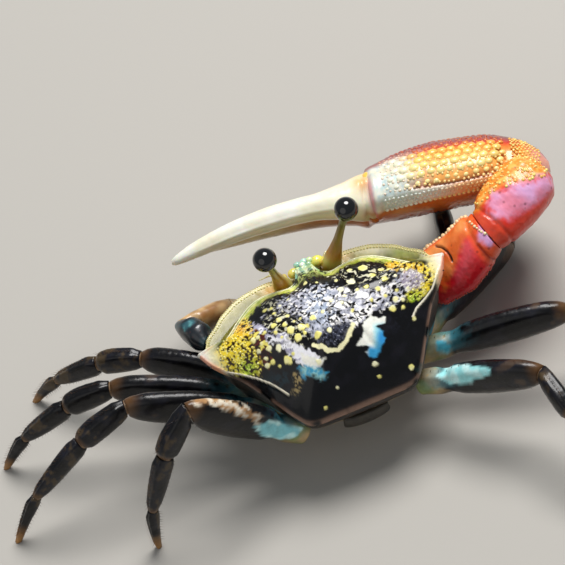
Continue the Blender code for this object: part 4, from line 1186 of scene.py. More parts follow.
def clawSurface(table, u, angle):
    # Points on a claw half at distances u from the hinge and angles in degrees: 0 is the outer
    # face and 90 the top edge.
    u, angle = np.atleast_1d(u).astype(float), np.radians(np.atleast_1d(angle).astype(float))
    low, high, inner, outer = readTable(table, u).T
    bow = np.where(u > 0, clawBow[0] * u - clawBow[1] * u * u, 0)
    rise, reach = np.sin(angle), np.cos(angle)
    height = (high + low) / 2 + (high - low) / 2 * bulge(rise, 0.9)
    swell = np.where(reach > 0, outer, inner) * bulge(reach, 0.85)
    return (clawHinge + clawAlong * u[:, None] + clawRise * height[:, None]
            + clawOut * (bow + swell)[:, None])


def clawNormal(table, u, angle):
    step = 0.05
    across = clawSurface(table, u, angle + 2) - clawSurface(table, u, angle - 2)
    along = clawSurface(table, u + step, angle) - clawSurface(table, u - step, angle)
    normal = unit(np.cross(across, along))
    centre = (clawSurface(table, u, np.full_like(angle, 90.0))
              + clawSurface(table, u, np.full_like(angle, -90.0))) / 2
    return normal * np.sign(np.sum(normal * (clawSurface(table, u, angle) - centre), 1))[:, None]


def clawGrid(table, rows, sides):
    u = np.repeat(rows, sides)
    angle = np.tile(np.linspace(-180, 180, sides, endpoint=False), len(rows))
    return u, angle, clawSurface(table, u, angle)


def closeClaw(name, points, sides, finish, nodes, tint, rough):
    # A claw half from its grid of points, closed at both ends.
    points, faces = tube(points.reshape(-1, sides, 3))
    tint = np.vstack([tint, tint[:1], tint[-1:]])
    makePiece(name, points, faces, finish, nodes, tint, np.append(rough, rough[:2]))


palmTones = [
    (-180, "b8480e"), (-130, "dc9050"), (-90, "ecc896"), (-60, "eeb07a"), (-25, "de5c2e"), (0, "b62a1c"),
    (16, "7c1016"), (33, "981418"), (43, "c8381c"), (53, "e67c28"), (64, "ee9a3e"), (80, "f0a24a"),
    (93, "eca05a"), (104, "f0b27c"), (126, "ee9c50"), (150, "e57a28"), (180, "b8480e"),
]

beadTones = [
    (-80, "f2dcae"), (-40, "f0b46a"), (-5, "d8642e"), (14, "981c18"), (36, "a82418"), (43, "e07c30"),
    (50, "f2c25c"), (62, "f6da7c"), (93, "f6e29c"),
]


# Relief of the palm in millimetres, from the groove under the bead field to the hinge's lip.
palm = {"groove": 0.34, "grooveWidth": 4.0, "ridge": 0.22, "ridgeWidth": 4.5, "hollow": 0.5, "lip": 0.35,
        "pit": 0.04, "grain": 0.06, "lump": 0.10, "rough": 0.22}


def makePalm():
    rows = np.concatenate([np.linspace(-20.4, -0.1, 230), np.linspace(0.0, 0.8, 16),
                           np.linspace(0.95, 20.4, 130)])
    sides = 120
    u, angle, points = clawGrid(palmTable, rows, sides)
    normal = clawNormal(palmTable, u, angle)
    small, coarse = twoNoises(points, 0.5, 2.2, 81)
    first, fine = cells(points, 0.75, 83)[0], cells(points, 0.42, 84)[0]
    inField = smooth(-16.8, -14.6, u) * smooth(-1.0, -3.0, u)
    # A groove under the bead field, a ridge beyond it, and a smooth hollow towards the heel.
    grooveAt = 92 + 4 * np.sin(u * 0.5)
    groove = (palm["groove"] * hump(angle, grooveAt, palm["grooveWidth"]) * smooth(-15.5, -13.0, u)
              * smooth(-3.6, -5.2, u))
    ridge = (palm["ridge"] * hump(angle - 128 - 0.4 * (u + 8), 0, palm["ridgeWidth"])
             * smooth(-13.0, -10.0, u) * smooth(0.0, -1.6, u))
    hollow = palm["hollow"] * hump(u, -15.8, 1.3) * hump(angle, 74, 26)
    lip = palm["lip"] * hump(u, -0.5, 0.5) * smooth(30, 60, angle) * smooth(175, 150, angle)
    lift = (ridge - groove - hollow + lip + palm["pit"] * (1 - smooth(0.2, 0.55, fine)) * inField
            + palm["grain"] * (small - 0.5))
    lift += palm["lump"] * (1 - smooth(0.25, 0.6, first)) * smooth(-10.0, -40.0, angle) * inField
    points = points + normal * lift[:, None]

    tint = readTable([(at, *tone(code)) for at, code in palmTones], angle + 7 * (small - 0.5))
    tint = coats(tint, [
        ("f6b858", 0.5 * smooth(0.5, 0.8, coarse) * smooth(44, 60, angle)),
        ("6c1016", 0.7 * smooth(-11, -17, u) * smooth(36, 24, angle) * smooth(-20, 5, angle)),
    ])
    pale = smooth(-8.0, -3.0, u + 1.6 * (small - 0.5)) * smooth(28, 48, angle) * smooth(136, 124, angle)
    paleTone = coats("c4dcdc", [
        ("eef0e0", smooth(0.4, 0.7, small)),
        ("f0d8a8", 0.6 * smooth(0.5, 0.75, coarse)),
    ])
    tint = blend(tint, paleTone, 0.95 * pale * (u < 0.4))
    paleLow = smooth(-12.5, -8.5, u) * smooth(94, 100, angle) * smooth(130, 122, angle)
    tint = coats(tint, [
        (blend("dde2d6", "f0b27a", smooth(-7, -11, u)), 0.75 * paleLow),
        # Painted shade in the groove under the bead field, darker where the relief is deeper.
        ("8c2c14", np.clip(2.0 * groove, 0, 0.75)),
    ])
    wrapped = np.where(angle > 0, angle, 360 + angle)
    inner = smooth(134, 142, wrapped)
    innerTone = coats("ea8228", [
        ("f6ac58", smooth(0.4, 0.75, coarse)),
        ("b8480e", smooth(165, 200, wrapped)),
    ])
    tint = coats(tint, [
        (innerTone, inner * (wrapped < 250)),
        ("e890a4", 0.8 * hump(u, -0.1, 0.28) * smooth(50, 80, angle)),
    ])
    heel = smooth(-17.4, -19.2, u) * smooth(20, 50, angle)
    tint = blend(tint, "e89498", 0.6 * heel)
    fixed = smooth(0.8, 3.5, u)
    fixedTone = coats("d58a4c", [
        ("efd9a4", smooth(4, 13, u + 3 * (small - 0.5))),
        ("a35a24", 0.5 * smooth(0.5, 0.8, coarse)),
    ])
    tint = blend(tint, fixedTone, fixed)
    socket = hump(u, 0.5, 0.45) * smooth(0, 40, angle)
    tint = blend(tint, "b0602c", 0.5 * socket)
    closeClaw("claw_palm", points, sides, "claw", ["claw_large_palm"], tint,
              palm["rough"] + 0.1 * small)


# Fields of beads on the palm: rows and columns, the reach of the first row and the gap of rows over
# the surface, the first distance from the hinge and the gap along the claw, and the angles between.
beadFields = {
    "large": {"rows": 17, "columns": 14, "firstReach": 0.55, "rowGap": 0.97, "firstU": -1.9, "gap": 1.13,
              "high": 92.0, "low": -74.0, "seed": 7},
    "between": {"rows": 18, "columns": 28, "firstReach": 0.1, "rowGap": 0.485, "firstU": -1.6, "gap": 0.56,
                "high": 92.0, "low": 24.0, "seed": 9},
    "fine": {"rows": 5, "columns": 30, "firstReach": 0.55, "rowGap": 0.5, "firstU": -1.4, "gap": 0.5,
             "high": 96.0, "low": 150.0, "seed": 11},
    "heel": {"rows": 16, "columns": 8, "firstReach": 0.2, "rowGap": 0.42, "firstU": -16.5, "gap": 0.42,
             "high": 108.0, "low": 26.0, "seed": 13},
}


def palmPlaces(rows, columns, firstReach, rowGap, firstU, gap, high, low, seed):
    # Places in rows that run along the claw: row number, distance u from the hinge and angle.
    chance = np.random.default_rng(seed)
    grid = np.linspace(-19.8, -1.2, 60)
    angles = np.linspace(high, low, 260)
    arcs = []
    for at in grid:
        line = clawSurface(palmTable, np.full(len(angles), at), angles)
        arcs.append(np.append(0, np.cumsum(np.linalg.norm(np.diff(line, axis=0), axis=1))))
    kept = []
    for row in range(rows):
        reach = firstReach + rowGap * row
        lineAngles = [np.interp(reach, arc, angles) if arc[-1] > reach else np.nan for arc in arcs]
        u = firstU - gap * (np.arange(columns) + 0.5 * (row % 2)) + chance.uniform(-0.1, 0.1, columns) * gap
        angle = np.interp(u, grid, lineAngles) + chance.uniform(-1.2, 1.2, columns)
        kept.append(np.stack([np.full(columns, row), u, angle], -1))
    kept = np.concatenate(kept)
    return kept[~np.isnan(kept[:, 2])].T


def onPalm(u, angle, sizes, tint, sink=0.05, rough=0.24):
    places = clawSurface(palmTable, u, angle)
    normal = clawNormal(palmTable, u, angle)
    return beadRow(places - normal * sink, normal, clawAlong, sizes, tint, rough)


def makePalmBeads():
    chance = np.random.default_rng(5)
    row, u, angle = palmPlaces(**beadFields["large"])
    keep = u > -15.6
    row, u, angle = row[keep], u[keep], angle[keep]
    size = (0.5 + 0.5 * smooth(-1.4, -3.4, u) * smooth(-16.2, -14.2, u)) * chance.uniform(0.88, 1.1, len(u))
    size = size * np.interp(row, [0, 1, 2, 4, 6, 7, 9, 12, 16],
                            [0.65, 0.95, 1.08, 1.05, 0.85, 0.7, 0.7, 0.8, 0.6])
    size = size * (1 - 0.45 * smooth(45, 36, angle) * smooth(0, 14, angle))
    tint = readTable([(at, *tone(code)) for at, code in beadTones], angle)
    tint = coats(tint, [
        ("f0f0dc", 0.9 * smooth(-6.0, -3.0, u) * smooth(20, 44, angle)),
        ("f0b04a", 0.35 * chance.uniform(0, 1, len(u)) * smooth(-6, -9, u)),
    ])
    large = onPalm(u, angle, size[:, None] * (0.54, 0.43, 0.29), tint)
    growBeads("claw_palm_beads", [large], "claw", 3, 0.3, 14, 8)

    groups = []
    row, u, angle = palmPlaces(**beadFields["between"])
    keep = (u > -15.6) & (row % 2 == 0)
    sizes = chance.uniform(0.13, 0.2, np.sum(keep))[:, None] * (1.1, 1.0, 0.8)
    tint = readTable([(at, *tone(code)) for at, code in beadTones], angle[keep])
    tint = blend(tint, "eef0e0", smooth(-6.0, -3.0, u[keep]) * smooth(20, 44, angle[keep]))
    tint = blend(tint, "e8862e", np.full(np.sum(keep), 0.3))
    groups.append(onPalm(u[keep], angle[keep], sizes, tint, 0.02))
    # Fine rows below the groove, the row of beads along the lower edge, grains of the heel.
    _, u, angle = palmPlaces(**beadFields["fine"])
    keep = (angle < 127) & (u > -14)
    fine = blend("e9ecdf", "f4c486", smooth(-6, -10, u[keep]))
    groups.append(onPalm(u[keep], angle[keep], (0.22, 0.16, 0.14), fine, 0.02))
    edge = np.arange(-13.6, -1.4, 0.55)
    edgeTone = blend("f2ecd2", "f6c872", smooth(-4, -8, edge))
    groups.append(onPalm(edge, 128 + 0.4 * (edge + 8), (0.27, 0.24, 0.24), edgeTone, -0.12))
    _, u, angle = palmPlaces(**beadFields["heel"])
    keep = u > -19.6
    sizes = chance.uniform(0.15, 0.22, np.sum(keep))[:, None] * (1.0, 1.0, 0.8)
    heelTone = blend("f4d674", "eea048", chance.uniform(0, 0.8, np.sum(keep)))
    groups.append(onPalm(u[keep], angle[keep], sizes, heelTone, 0.02))
    growBeads("claw_palm_grains", groups, "claw", 4, 3.0, 8, 5)

    # Knobs of the finger's hinge, seen at the top and at the bottom of the joint.
    u, angle = np.array((0.15, 0.1)), np.array((58.0, 150.0))
    sizes = np.array(((0.75, 1.0, 0.55), (0.7, 0.9, 0.6)))
    tints = np.array((tone("f2c052"), tone("c8702c")))
    knobs = beadRow(clawSurface(palmTable, u, angle), clawNormal(palmTable, u, angle), clawAlong, sizes,
                    tints)
    growBeads("claw_hinge_knobs", [knobs], "claw", 5, 0.0, 32, 20)


tooth = {"gap": 0.72, "size": 0.22, "swell": 0.1, "large": 0.16, "largeAt": 0.42, "rowAngle": 11.0,
         "sink": 0.08}


def makeTeeth():
    # Low rounded teeth along the cutting edges of both fingers, larger in the middle.
    groups = []
    for table, side, first, last in ((fingerTable, -90.0, 2.4, 21.4), (palmTable, 90.0, 2.4, 18.6)):
        u = np.arange(first, last, tooth["gap"])
        part = (u - first) / (last - first)
        size = tooth["size"] + tooth["swell"] * np.sin(part * math.pi)
        size = size + tooth["large"] * hump(part, tooth["largeAt"], 0.07)
        for offset in (-1, 1):
            angle = np.full(len(u), side + offset * tooth["rowAngle"])
            places = clawSurface(table, u + (tooth["gap"] / 2 if offset > 0 else 0), angle)
            normal = clawNormal(table, u, angle)
            groups.append(beadRow(places - normal * tooth["sink"], normal, clawAlong,
                                  size[:, None] * (1.25, 0.9, 1.1), "f2e6c0", 0.3))
    growBeads("claw_teeth", groups, "finger", 6, 0.2, 10, 7)


finger = {"keel": 0.14, "rut": 0.18, "neck": 0.35, "knob": 0.45, "grain": 0.05, "rough": 0.26}


def makeFinger():
    rows = np.concatenate([np.linspace(-0.5, 4, 60), np.linspace(4.15, 22.6, 130),
                           np.linspace(22.65, 23.4, 14)])
    sides = 84
    u, angle, points = clawGrid(fingerTable, rows, sides)
    normal = clawNormal(fingerTable, u, angle)
    small, coarse = twoNoises(points, 0.6, 3.0, 91)
    keel = finger["keel"] * hump(angle, 118, 9) * smooth(1.5, 4, u) * smooth(22, 17, u)
    rut = finger["rut"] * hump(angle, 142, 8) * smooth(2.0, 5, u) * smooth(21, 15, u)
    neck = finger["neck"] * hump(u, 0.75, 0.35) * smooth(20, 60, angle)
    knob = finger["knob"] * mound(u, angle, (0.6, 58), (0.8, 15))
    points = points + normal * (keel - rut - neck + knob + finger["grain"] * (small - 0.5))[:, None]
    tint = blend("f4efd6", "fbf8ea", smooth(0.35, 0.7, coarse))
    root = smooth(4.5, 0.5, u + 1.5 * (small - 0.5))
    tint = coats(tint, [
        ("f2dca0", 0.8 * root * smooth(95, 45, angle)),
        ("e9a74c", 0.7 * mound(u, angle, (0.7, 58), (1.0, 20))),
        ("e79aa6", 0.7 * hump(u, -0.1, 0.45) * smooth(40, 70, angle)),
        ("c9702c", 0.9 * mound(u, angle, (0.3, 150), (0.9, 16))),
        ("e9d9a0", 0.8 * hump(np.abs(angle), 170, 24)),
        ("e7c98e", 0.6 * smooth(-40, -80, angle) * smooth(-140, -100, angle)),
    ])
    outer = smooth(40, 0, angle) * smooth(-80, -30, angle) * smooth(16, 2, u)
    tint = blend(tint, "efb27c", 0.45 * outer)
    closeClaw("claw_finger", points, sides, "finger", ["claw_large_finger"], tint,
              finger["rough"] + 0.1 * small)


makePalm()
makePalmBeads()
makeFinger()
makeTeeth()
print("large claw made")

armJoints = [(8.6, 4.0, -6.7), (20.5, 1.6, -0.5), (28.9, 5.3, 1.2)]
armUp = (-0.42, 0.87, 0.34)
armTables = {
    "merus": [(0.0, 1.6, 1.5, 0.0), (0.15, 1.8, 1.5, -0.2), (0.38, 3.2, 1.5, -1.5),
              (0.62, 3.4, 2.0, -1.5), (0.86, 3.2, 2.5, -0.7), (1.0, 2.6, 2.3, -0.2)],
    "carpus": [(0.0, 2.6, 2.3, -0.2), (0.2, 3.3, 2.9, -0.1), (0.55, 3.6, 3.2, 0.1), (0.86, 3.1, 2.9, 0.0),
               (1.0, 1.8, 1.8, 0.0)],
}
# Marks of the arm in pixels. The lavender mark of the carpus and the pale spot of the merus are painted
# highlights.
armMarks = {
    "lavenderHighlight": [(486, 206), (492, 194), (508, 186), (530, 180), (548, 174), (556, 184), (549, 198),
                 (530, 210), (512, 218), (494, 216)],
    "redEdge": [(560, 186), (552, 202), (538, 219), (521, 234), (506, 248), (498, 236), (516, 222),
                (542, 200)],
    "granules": [(500, 150), (528, 148), (552, 162), (552, 172), (530, 180), (508, 185), (490, 196),
                 (478, 214), (466, 216), (462, 200), (470, 186), (486, 170)],
    "orangeLeft": [(420, 243), (436, 230), (447, 221), (464, 208), (476, 222), (468, 238), (460, 252),
                   (454, 270), (446, 290), (430, 270)],
    "pinkStreak": [(464, 238), (472, 240), (474, 252), (466, 272), (458, 286), (454, 278), (460, 258)],
    # Painted highlight near the joint of the merus.
    "paleHighlight": [(480, 226), (497, 228), (500, 238), (490, 246), (478, 240)],
}
crestRoute = [(423, 246), (430, 238), (438, 232), (446, 226), (454, 218), (463, 211)]
jointRoute = [(470, 222), (478, 229), (486, 234), (494, 238), (501, 242)]
crackLine = [(436, 245.5), (442, 247), (447, 251), (450, 256), (452, 261)]


dentRoute = [(478, 246), (490, 258), (498, 262)]
# Depths of the arm's relief in millimetres, and widths of its crack and dent in pixels.
arm = {"crack": 0.4, "crackWidth": 1.0, "fold": 0.16, "dent": 0.12, "dentWidth": 1.4, "grain": 0.10,
       "lump": 0.16}


def nearRoute(normal, pixels, route, gap):
    # Points of the side in view nearest to places at even distances along a line of pixels.
    steps = int(np.sum(np.linalg.norm(np.diff(np.array(route, float), axis=0), axis=1)) / pixelsPerMm / gap)
    hidden = 40.0 * (normal @ towardCamera < -0.05)
    return np.array([np.argmin(np.linalg.norm(pixels - place, axis=1) + hidden)
                     for place in throughPoints(route, steps + 1)])


def makeArm():
    chance = np.random.default_rng(12)
    groups = []
    for index, segment in enumerate(("merus", "carpus")):
        start, reach = np.array(armJoints[index]), np.subtract(armJoints[index + 1], armJoints[index])
        rings = limbRings(armJoints, index, armUp, armTables[segment], 150, 170)
        rings = roundEnds(rings, 0.18, 6)
        points, faces = tube(rings)
        centreLine = np.repeat(rings.mean(1), rings.shape[1], axis=0)
        normal = unit(np.vstack([rings.reshape(-1, 3) - centreLine, [[0, 0, 1.0]], [[0, 0, 1.0]]]))
        normal[-2:] = 0
        pixels = toPixels(points)
        small, coarse = twoNoises(points, 0.5, 2.4, 101)
        seen = smooth(-0.1, 0.2, normal @ towardCamera)
        place = (points - start) @ unit(reach) / np.linalg.norm(reach)

        def mark(name, soft=2.5, ragged=8.0):
            return within(pixels, armMarks[name], soft, ragged * (small - 0.5)) * seen

        onMerus = seen * (segment == "merus")
        crack = hump(lineDistance(pixels, crackLine)[0], 0, arm["crackWidth"]) * onMerus
        dent = hump(lineDistance(pixels, dentRoute)[0], 0, arm["dentWidth"]) * onMerus
        folds = {"merus": (0.93, 0.025), "carpus": (0.09, 0.03)}
        fold = hump(place, *folds[segment])
        lift = (arm["grain"] * (small - 0.5) + arm["lump"] * (coarse - 0.5) - arm["crack"] * crack
                - arm["fold"] * fold - arm["dent"] * dent)
        points = points + normal * lift[:, None]
        if segment == "carpus":
            tint = blend("dc2c1c", "ea5a3c", smooth(0.35, 0.7, coarse))
            ground = blend("ee8c30", "f4b858", smooth(0.4, 0.7, small))
            tint = coats(tint, [
                (ground, mark("granules", 4, 8)),
                # Pink of the carpus under a painted highlight: the lavender is the shine of the wet shell,
                # painted in.
                (blend("e2849c", "dfa9d6", smooth(0.3, 0.65, coarse)), mark("lavenderHighlight", 6, 12)),
                ("e63a1e", mark("redEdge", 4, 8)),
                ("c03a14", 0.5 * smooth(0.2, 0.05, place) * seen),
            ])
            grains = seedPlaces(points[:-2], 0.55, 104, mark("granules", 3, 5)[:-2])
            grains = grains[place[grains] > 0.12]
            size = chance.uniform(0.14, 0.22, len(grains))
            grainTone = blend("f4dc7c", "f0a850", chance.uniform(0, 1, len(grains)))
            groups.append(beadRow(points[grains] - normal[grains] * 0.03, normal[grains], clawAlong,
                                  size[:, None] * (1, 1, 0.8), grainTone))
        else:
            tint = coats("e01020", [
                ("f22a30", smooth(0.35, 0.7, coarse)),
                (blend("ec6a28", "f29a56", smooth(0.4, 0.7, coarse)), mark("orangeLeft", 4, 8)),
                ("f05a68", 0.6 * mark("pinkStreak", 5, 6)),
                ("e8601e", 0.7 * smooth(0.86, 0.94, place)),
                # Painted highlight: a pale lavender shine on the merus near its joint.
                ("dcaade", 0.9 * mark("paleHighlight", 3, 6)),
                # The crack and the dent are painted darker as deep as their relief: painted shade in them.
                ("3a0c08", np.clip(1.4 * crack, 0, 0.95)),
                ("a81418", np.clip(0.7 * dent, 0, 0.6)),
                ("b01616", 0.5 * smooth(0.25, 0.08, place)),
            ])
            for route, gap, least, most, height, code in ((crestRoute, 0.42, 0.2, 0.34, 1.1, "f6d2a0"),
                                                          (jointRoute, 0.34, 0.13, 0.2, 0.9, "f4dcae")):
                row = nearRoute(normal[:-2], pixels[:-2], route, gap)
                sizes = chance.uniform(least, most, len(row))[:, None] * (1, 1, height)
                groups.append(beadRow(points[row], normal[row], (0, 0, 1), sizes, code))
            under = np.linspace(0.3, 0.9, 26)
            below = [int(np.argmin(np.abs(place[:-2] - at) * 60 + (points[:-2] @ np.array(armUp)) * 3))
                     for at in under]
            groups.append(beadRow(points[below], normal[below], (0, 0, 1), (0.16, 0.16, 0.16), "d84a2c"))
        makePiece(f"arm_{segment}", points, faces, "arm", [f"claw_large_{segment}"],
                  tint, 0.22 + 0.14 * small)
    growBeads("arm_grains", groups, "claw", 12, 3.0, 10, 6)


makeArm()
print("arm made")


# Walking legs and the small claw

segmentLengths = {1: (14.0, 5.4, 6.4, 5.2), 2: (17.5, 5.8, 7.0, 5.6), 3: (17.6, 6.5, 8.5, 6.8),
                  4: (15.7, 6.0, 7.6, 6.2)}
hips = {1: (9.0, 1.0, -9.3), 2: (9.3, -1.8, -8.9), 3: (8.5, -4.9, -8.1), 4: (7.2, -8.4, -8.8)}
stance = {
    ("right", 1): (52.0, -16.0, 80.0), ("right", 2): (36.2, -12.0, 72.0),
    ("right", 3): (-15.6, 8.0, -18.0), ("right", 4): (-36.6, 15.4, -80.0),
    ("left", 1): (36.0, 8.0, 30.0), ("left", 2): (23.0, 13.0, 16.0),
    ("left", 3): (15.0, 19.0, -4.0), ("left", 4): (2.0, 42.0, -16.0),
}
legTables = {
    "merus": [(0.0, 1.5, 1.3, 0.0), (0.14, 1.7, 1.25, 0.0), (0.24, 1.5, 1.05, 0.0),
              (0.34, 2.15, 1.15, 0.1), (0.58, 2.45, 1.2, 0.15), (0.84, 2.1, 1.15, 0.1),
              (0.95, 1.6, 1.05, 0.0), (1.0, 1.1, 0.85, -0.1)],
    "carpus": [(0.0, 1.1, 0.85, 0.0), (0.18, 1.45, 1.0, 0.15), (0.6, 1.65, 1.1, 0.2),
               (0.9, 1.5, 1.0, 0.05), (1.0, 1.1, 0.8, 0.0)],
    "propodus": [(0.0, 1.1, 0.8, 0.0), (0.15, 1.35, 0.85, 0.0), (0.5, 1.25, 0.75, 0.0),
                 (0.88, 0.9, 0.6, 0.0), (1.0, 0.65, 0.5, 0.0)],
    "dactyl": [(0.0, 0.65, 0.5, 0.0), (0.15, 0.8, 0.55, 0.1), (0.5, 0.62, 0.45, 0.15),
               (0.85, 0.42, 0.36, 0.05), (1.0, 0.34, 0.32, 0.0)],
}
bendSteps = (-12.0, 6.0, 26.0)
steepest = 88.0


def heading(mirror, yaw, rise):
    yaw, rise = math.radians(yaw), math.radians(rise)
    reach = math.cos(rise)
    return np.array((mirror * math.cos(yaw) * reach, math.sin(yaw) * reach, math.sin(rise)))


def legJoints(side, pair):
    mirror = 1.0 if side == "right" else -1.0
    yaw, rise, outerYaw = stance[(side, pair)]
    lengths = segmentLengths[pair]
    hip = np.array(hips[pair]) * (mirror, 1, 1)
    knee = hip + heading(mirror, yaw, rise) * lengths[0]
    drop = knee[2] - floorHeight
    low, high = -10.0, 80.0
    for _ in range(40):
        slope = (low + high) / 2
        slopes = [min(slope + step, steepest) for step in bendSteps]
        fall = sum(reach * math.sin(math.radians(each)) for reach, each in zip(lengths[1:], slopes))
        low, high = (slope, high) if fall < drop else (low, slope)
    joints = [hip, knee]
    for length, each in zip(lengths[1:], slopes):
        joints.append(joints[-1] + heading(mirror, outerYaw, -each) * length)
    return joints


legMarks = {
    "blueRight": [(436, 376), (448, 366), (470, 365), (492, 367), (490, 374), (466, 384), (448, 385)],
    "blueLeft": [(254, 426), (268, 420), (284, 424), (302, 428), (298, 436), (280, 440), (262, 436)],
    "blueThird": [(434, 339), (444, 340), (453, 346), (449, 354), (437, 351)],
    "creamLeft": [(192, 396), (212, 394), (236, 402), (262, 416), (258, 424), (236, 414), (214, 404),
                  (196, 404)],
}


bluePatches = [(("right", 4), "blueRight", "9ee4e6"), (("left", 4), "blueLeft", "86d0d8"),
               (("right", 3), "blueThird", "4fb0c8")]
bristle = {"radius": 0.035, "merus": 0.5, "other": 0.7, "lean": 0.8, "count": 13, "clear": 0.9,
           "code": "2a1c12"}


# Relief of a leg segment: keels beside the upper edge, a rut between them and rasps on the merus.
leg = {"keel": 0.10, "keelAt": 0.45, "rut": 0.10, "rasp": 0.03, "raspTurns": 9, "grain": 0.06,
       "jointShare": 0.86}


def paintLeg(points, segment, along, upShare, seed):
    small, coarse = twoNoises(points, 0.5, 1.7, 111 + seed)
    tint = blend("08070a", "191922", smooth(0.4, 0.7, coarse))
    patches = smooth(0.56, 0.66, coarse * 0.7 + small * 0.3)
    tint = blend(tint, "5c4a2c", 0.55 * patches * (segment != "merus"))
    if segment == "merus":
        base = smooth(0.26, 0.14, along + 0.1 * (small - 0.5))
        tint = blend(tint, blend("b49a6e", "7c8a54", smooth(0.4, 0.7, coarse)), base)
        blue = smooth(0.36, 0.5, small + 0.25 * hump(along, 0.2, 0.1)) * hump(along, 0.2, 0.12)
        tint = coats(tint, [
            ("4f9fb0", 0.45 * blue * smooth(-0.3, 0.3, upShare)),
            ("6a5030", 0.35 * smooth(0.62, 0.7, coarse) * smooth(0.5, 0.9, along)),
        ])
    ends = smooth(0.9, 1.0, along)
    tint = blend(tint, "6e4c2a", 0.6 * ends)
    if segment == "dactyl":
        tint = blend(tint, "a87a48", smooth(0.55, 0.95, along))
    tint = blend(tint, "2c2418", 0.5 * smooth(-0.3, -0.9, upShare))
    return tint, small


def makeLeg(side, pair, seed):
    joints = legJoints(side, pair)
    jointParts = []
    bristles = []
    for index, segment in enumerate(("merus", "carpus", "propodus", "dactyl")):
        start, end = joints[index], joints[index + 1]
        length = np.linalg.norm(end - start)
        rings = limbRings(joints, index, (0, 0, 1), legTables[segment], 40,
                          64 if segment == "merus" else 44, True)
        rings = roundEnds(rings, 0.1, 3)
        points, faces = tube(rings)
        axis = (end - start) / length
        along = np.clip((points - start) @ axis / length, 0, 1)
        sideWays = unit(np.cross(axis, (0, 0, 1)))
        rise = np.cross(sideWays, axis)
        ringCentres = np.repeat(rings.mean(1), rings.shape[1], axis=0)
        offset = rings.reshape(-1, 3) - ringCentres
        normal = np.vstack([unit(offset + 1e-9), [axis * -1], [axis]])
        upShare = normal @ rise
        sideShare = normal @ sideWays
        small = noise(points, 0.45, 121 + seed, 2)
        keel = (leg["keel"] * hump(np.abs(sideShare), leg["keelAt"], 0.16) * (upShare > 0)
                * smooth(0.02, 0.15, along) * smooth(0.99, 0.85, along))
        rut = leg["rut"] * hump(sideShare, 0, 0.22) * (upShare > 0) * (segment != "merus")
        rasp = (leg["rasp"] * (np.sin(along * length * leg["raspTurns"]) > 0.2)
                * smooth(0.9, 0.99, np.abs(upShare)) * (segment == "merus"))
        points = points + normal * (keel - rut + rasp + leg["grain"] * (small - 0.5))[:, None]
        if segment == "dactyl":
            points[:, 2] = np.maximum(points[:, 2], floorHeight)
        tint, small = paintLeg(points, segment, along, upShare, seed)
        pixels = toPixels(points)
        seen = smooth(-0.2, 0.2, normal @ towardCamera)
        for legName, name, code in bluePatches:
            if (side, pair) == legName and segment == "merus":
                wavy = noise(points, 0.8, 137 + seed)
                share = within(pixels, legMarks[name], 1.2, 4 * (wavy - 0.5)) * seen
                tint = blend(tint, blend(code, "c8f2f0", smooth(0.4, 0.7, wavy)), share)
        if (side, pair) == ("left", 4) and segment == "merus":
            share = within(pixels, legMarks["creamLeft"], 2, 10 * (small - 0.5)) * seen
            cream = blend("b88a5a", "e6dcc8", smooth(0.45, 0.65, small))
            tint = blend(tint, cream, 0.85 * share)
        makePiece(f"leg_{side}_{pair}_{segment}_shell", points, faces, "leg",
                  [f"leg_{side}_{pair}_{segment}"], tint, 0.16 + 0.16 * small)
        # Short stiff hairs along the upper and the lower edge.
        for edge in (1, -1):
            at = [int(np.argmin(np.abs(along[:-2] - place) * 6 + np.abs(upShare[:-2] - edge)))
                  for place in np.linspace(0.12, 0.9, bristle["count"])]
            at = [each for each in at if points[each, 2] > floorHeight + bristle["clear"]]
            lean = unit(normal[at] + bristle["lean"] * axis)
            size = (bristle["radius"], bristle["radius"],
                    bristle["merus" if segment == "merus" else "other"])
            bristles.append(beadRow(points[at], lean, axis, size, bristle["code"], 0.4))
        if index < 3:
            table = legTables[segment][-1]
            jointParts.append(sphereParts(end, leg["jointShare"] * min(table[1], table[2] * 1.15), 12, 20))
    points, faces = joinParts(jointParts)
    small = noise(points, 0.3, 131 + seed, 2)
    tint = blend("5a4028", "8c6a44", small)
    makePiece(f"leg_{side}_{pair}_joints", points, faces, "joint", (), tint, 0.35 + 0.2 * small)
    growBeads(f"leg_{side}_{pair}_bristles", bristles, "joint", seed, 3.0, 5, 1, pointed=True)


seed = 0
for side in ("right", "left"):
    for pair in (1, 2, 3, 4):
        seed += 7
        makeLeg(side, pair, seed)
print("legs made")

smallJoints = [(-6.4, 4.4, -7.4), (-12.9, 5.6, -4.9), (-14.3, 9.4, -5.5), (-9.0, 11.2, -7.6),
               (-5.0, 11.0, -9.6)]
smallTables = {
    "merus": [(0.0, 1.4, 1.3, 0.0), (0.3, 1.4, 1.2, 0.0), (0.55, 1.75, 1.4, 0.0), (0.84, 1.5, 1.3, 0.0),
              (1.0, 0.95, 0.9, 0.0)],
    "carpus": [(0.0, 0.95, 0.9, 0.0), (0.33, 1.75, 1.5, 0.2), (0.75, 1.7, 1.4, 0.2), (1.0, 1.1, 1.0, 0.0)],
    "palm": [(0.0, 1.1, 1.0, 0.0), (0.25, 1.6, 1.1, 0.0), (0.7, 1.7, 1.1, 0.0), (1.0, 1.4, 0.9, 0.0)],
    "finger": [(0.0, 0.75, 0.85, 0.6), (0.3, 0.7, 0.7, 0.55), (0.75, 0.5, 0.5, 0.35),
               (1.0, 0.3, 0.35, 0.2)],
}
fixedFingerTable = [(-0.25, 0.55, 0.7, -0.75), (0.1, 0.5, 0.65, -1.05), (0.55, 0.4, 0.5, -1.1),
                    (1.0, 0.3, 0.35, -0.85)]


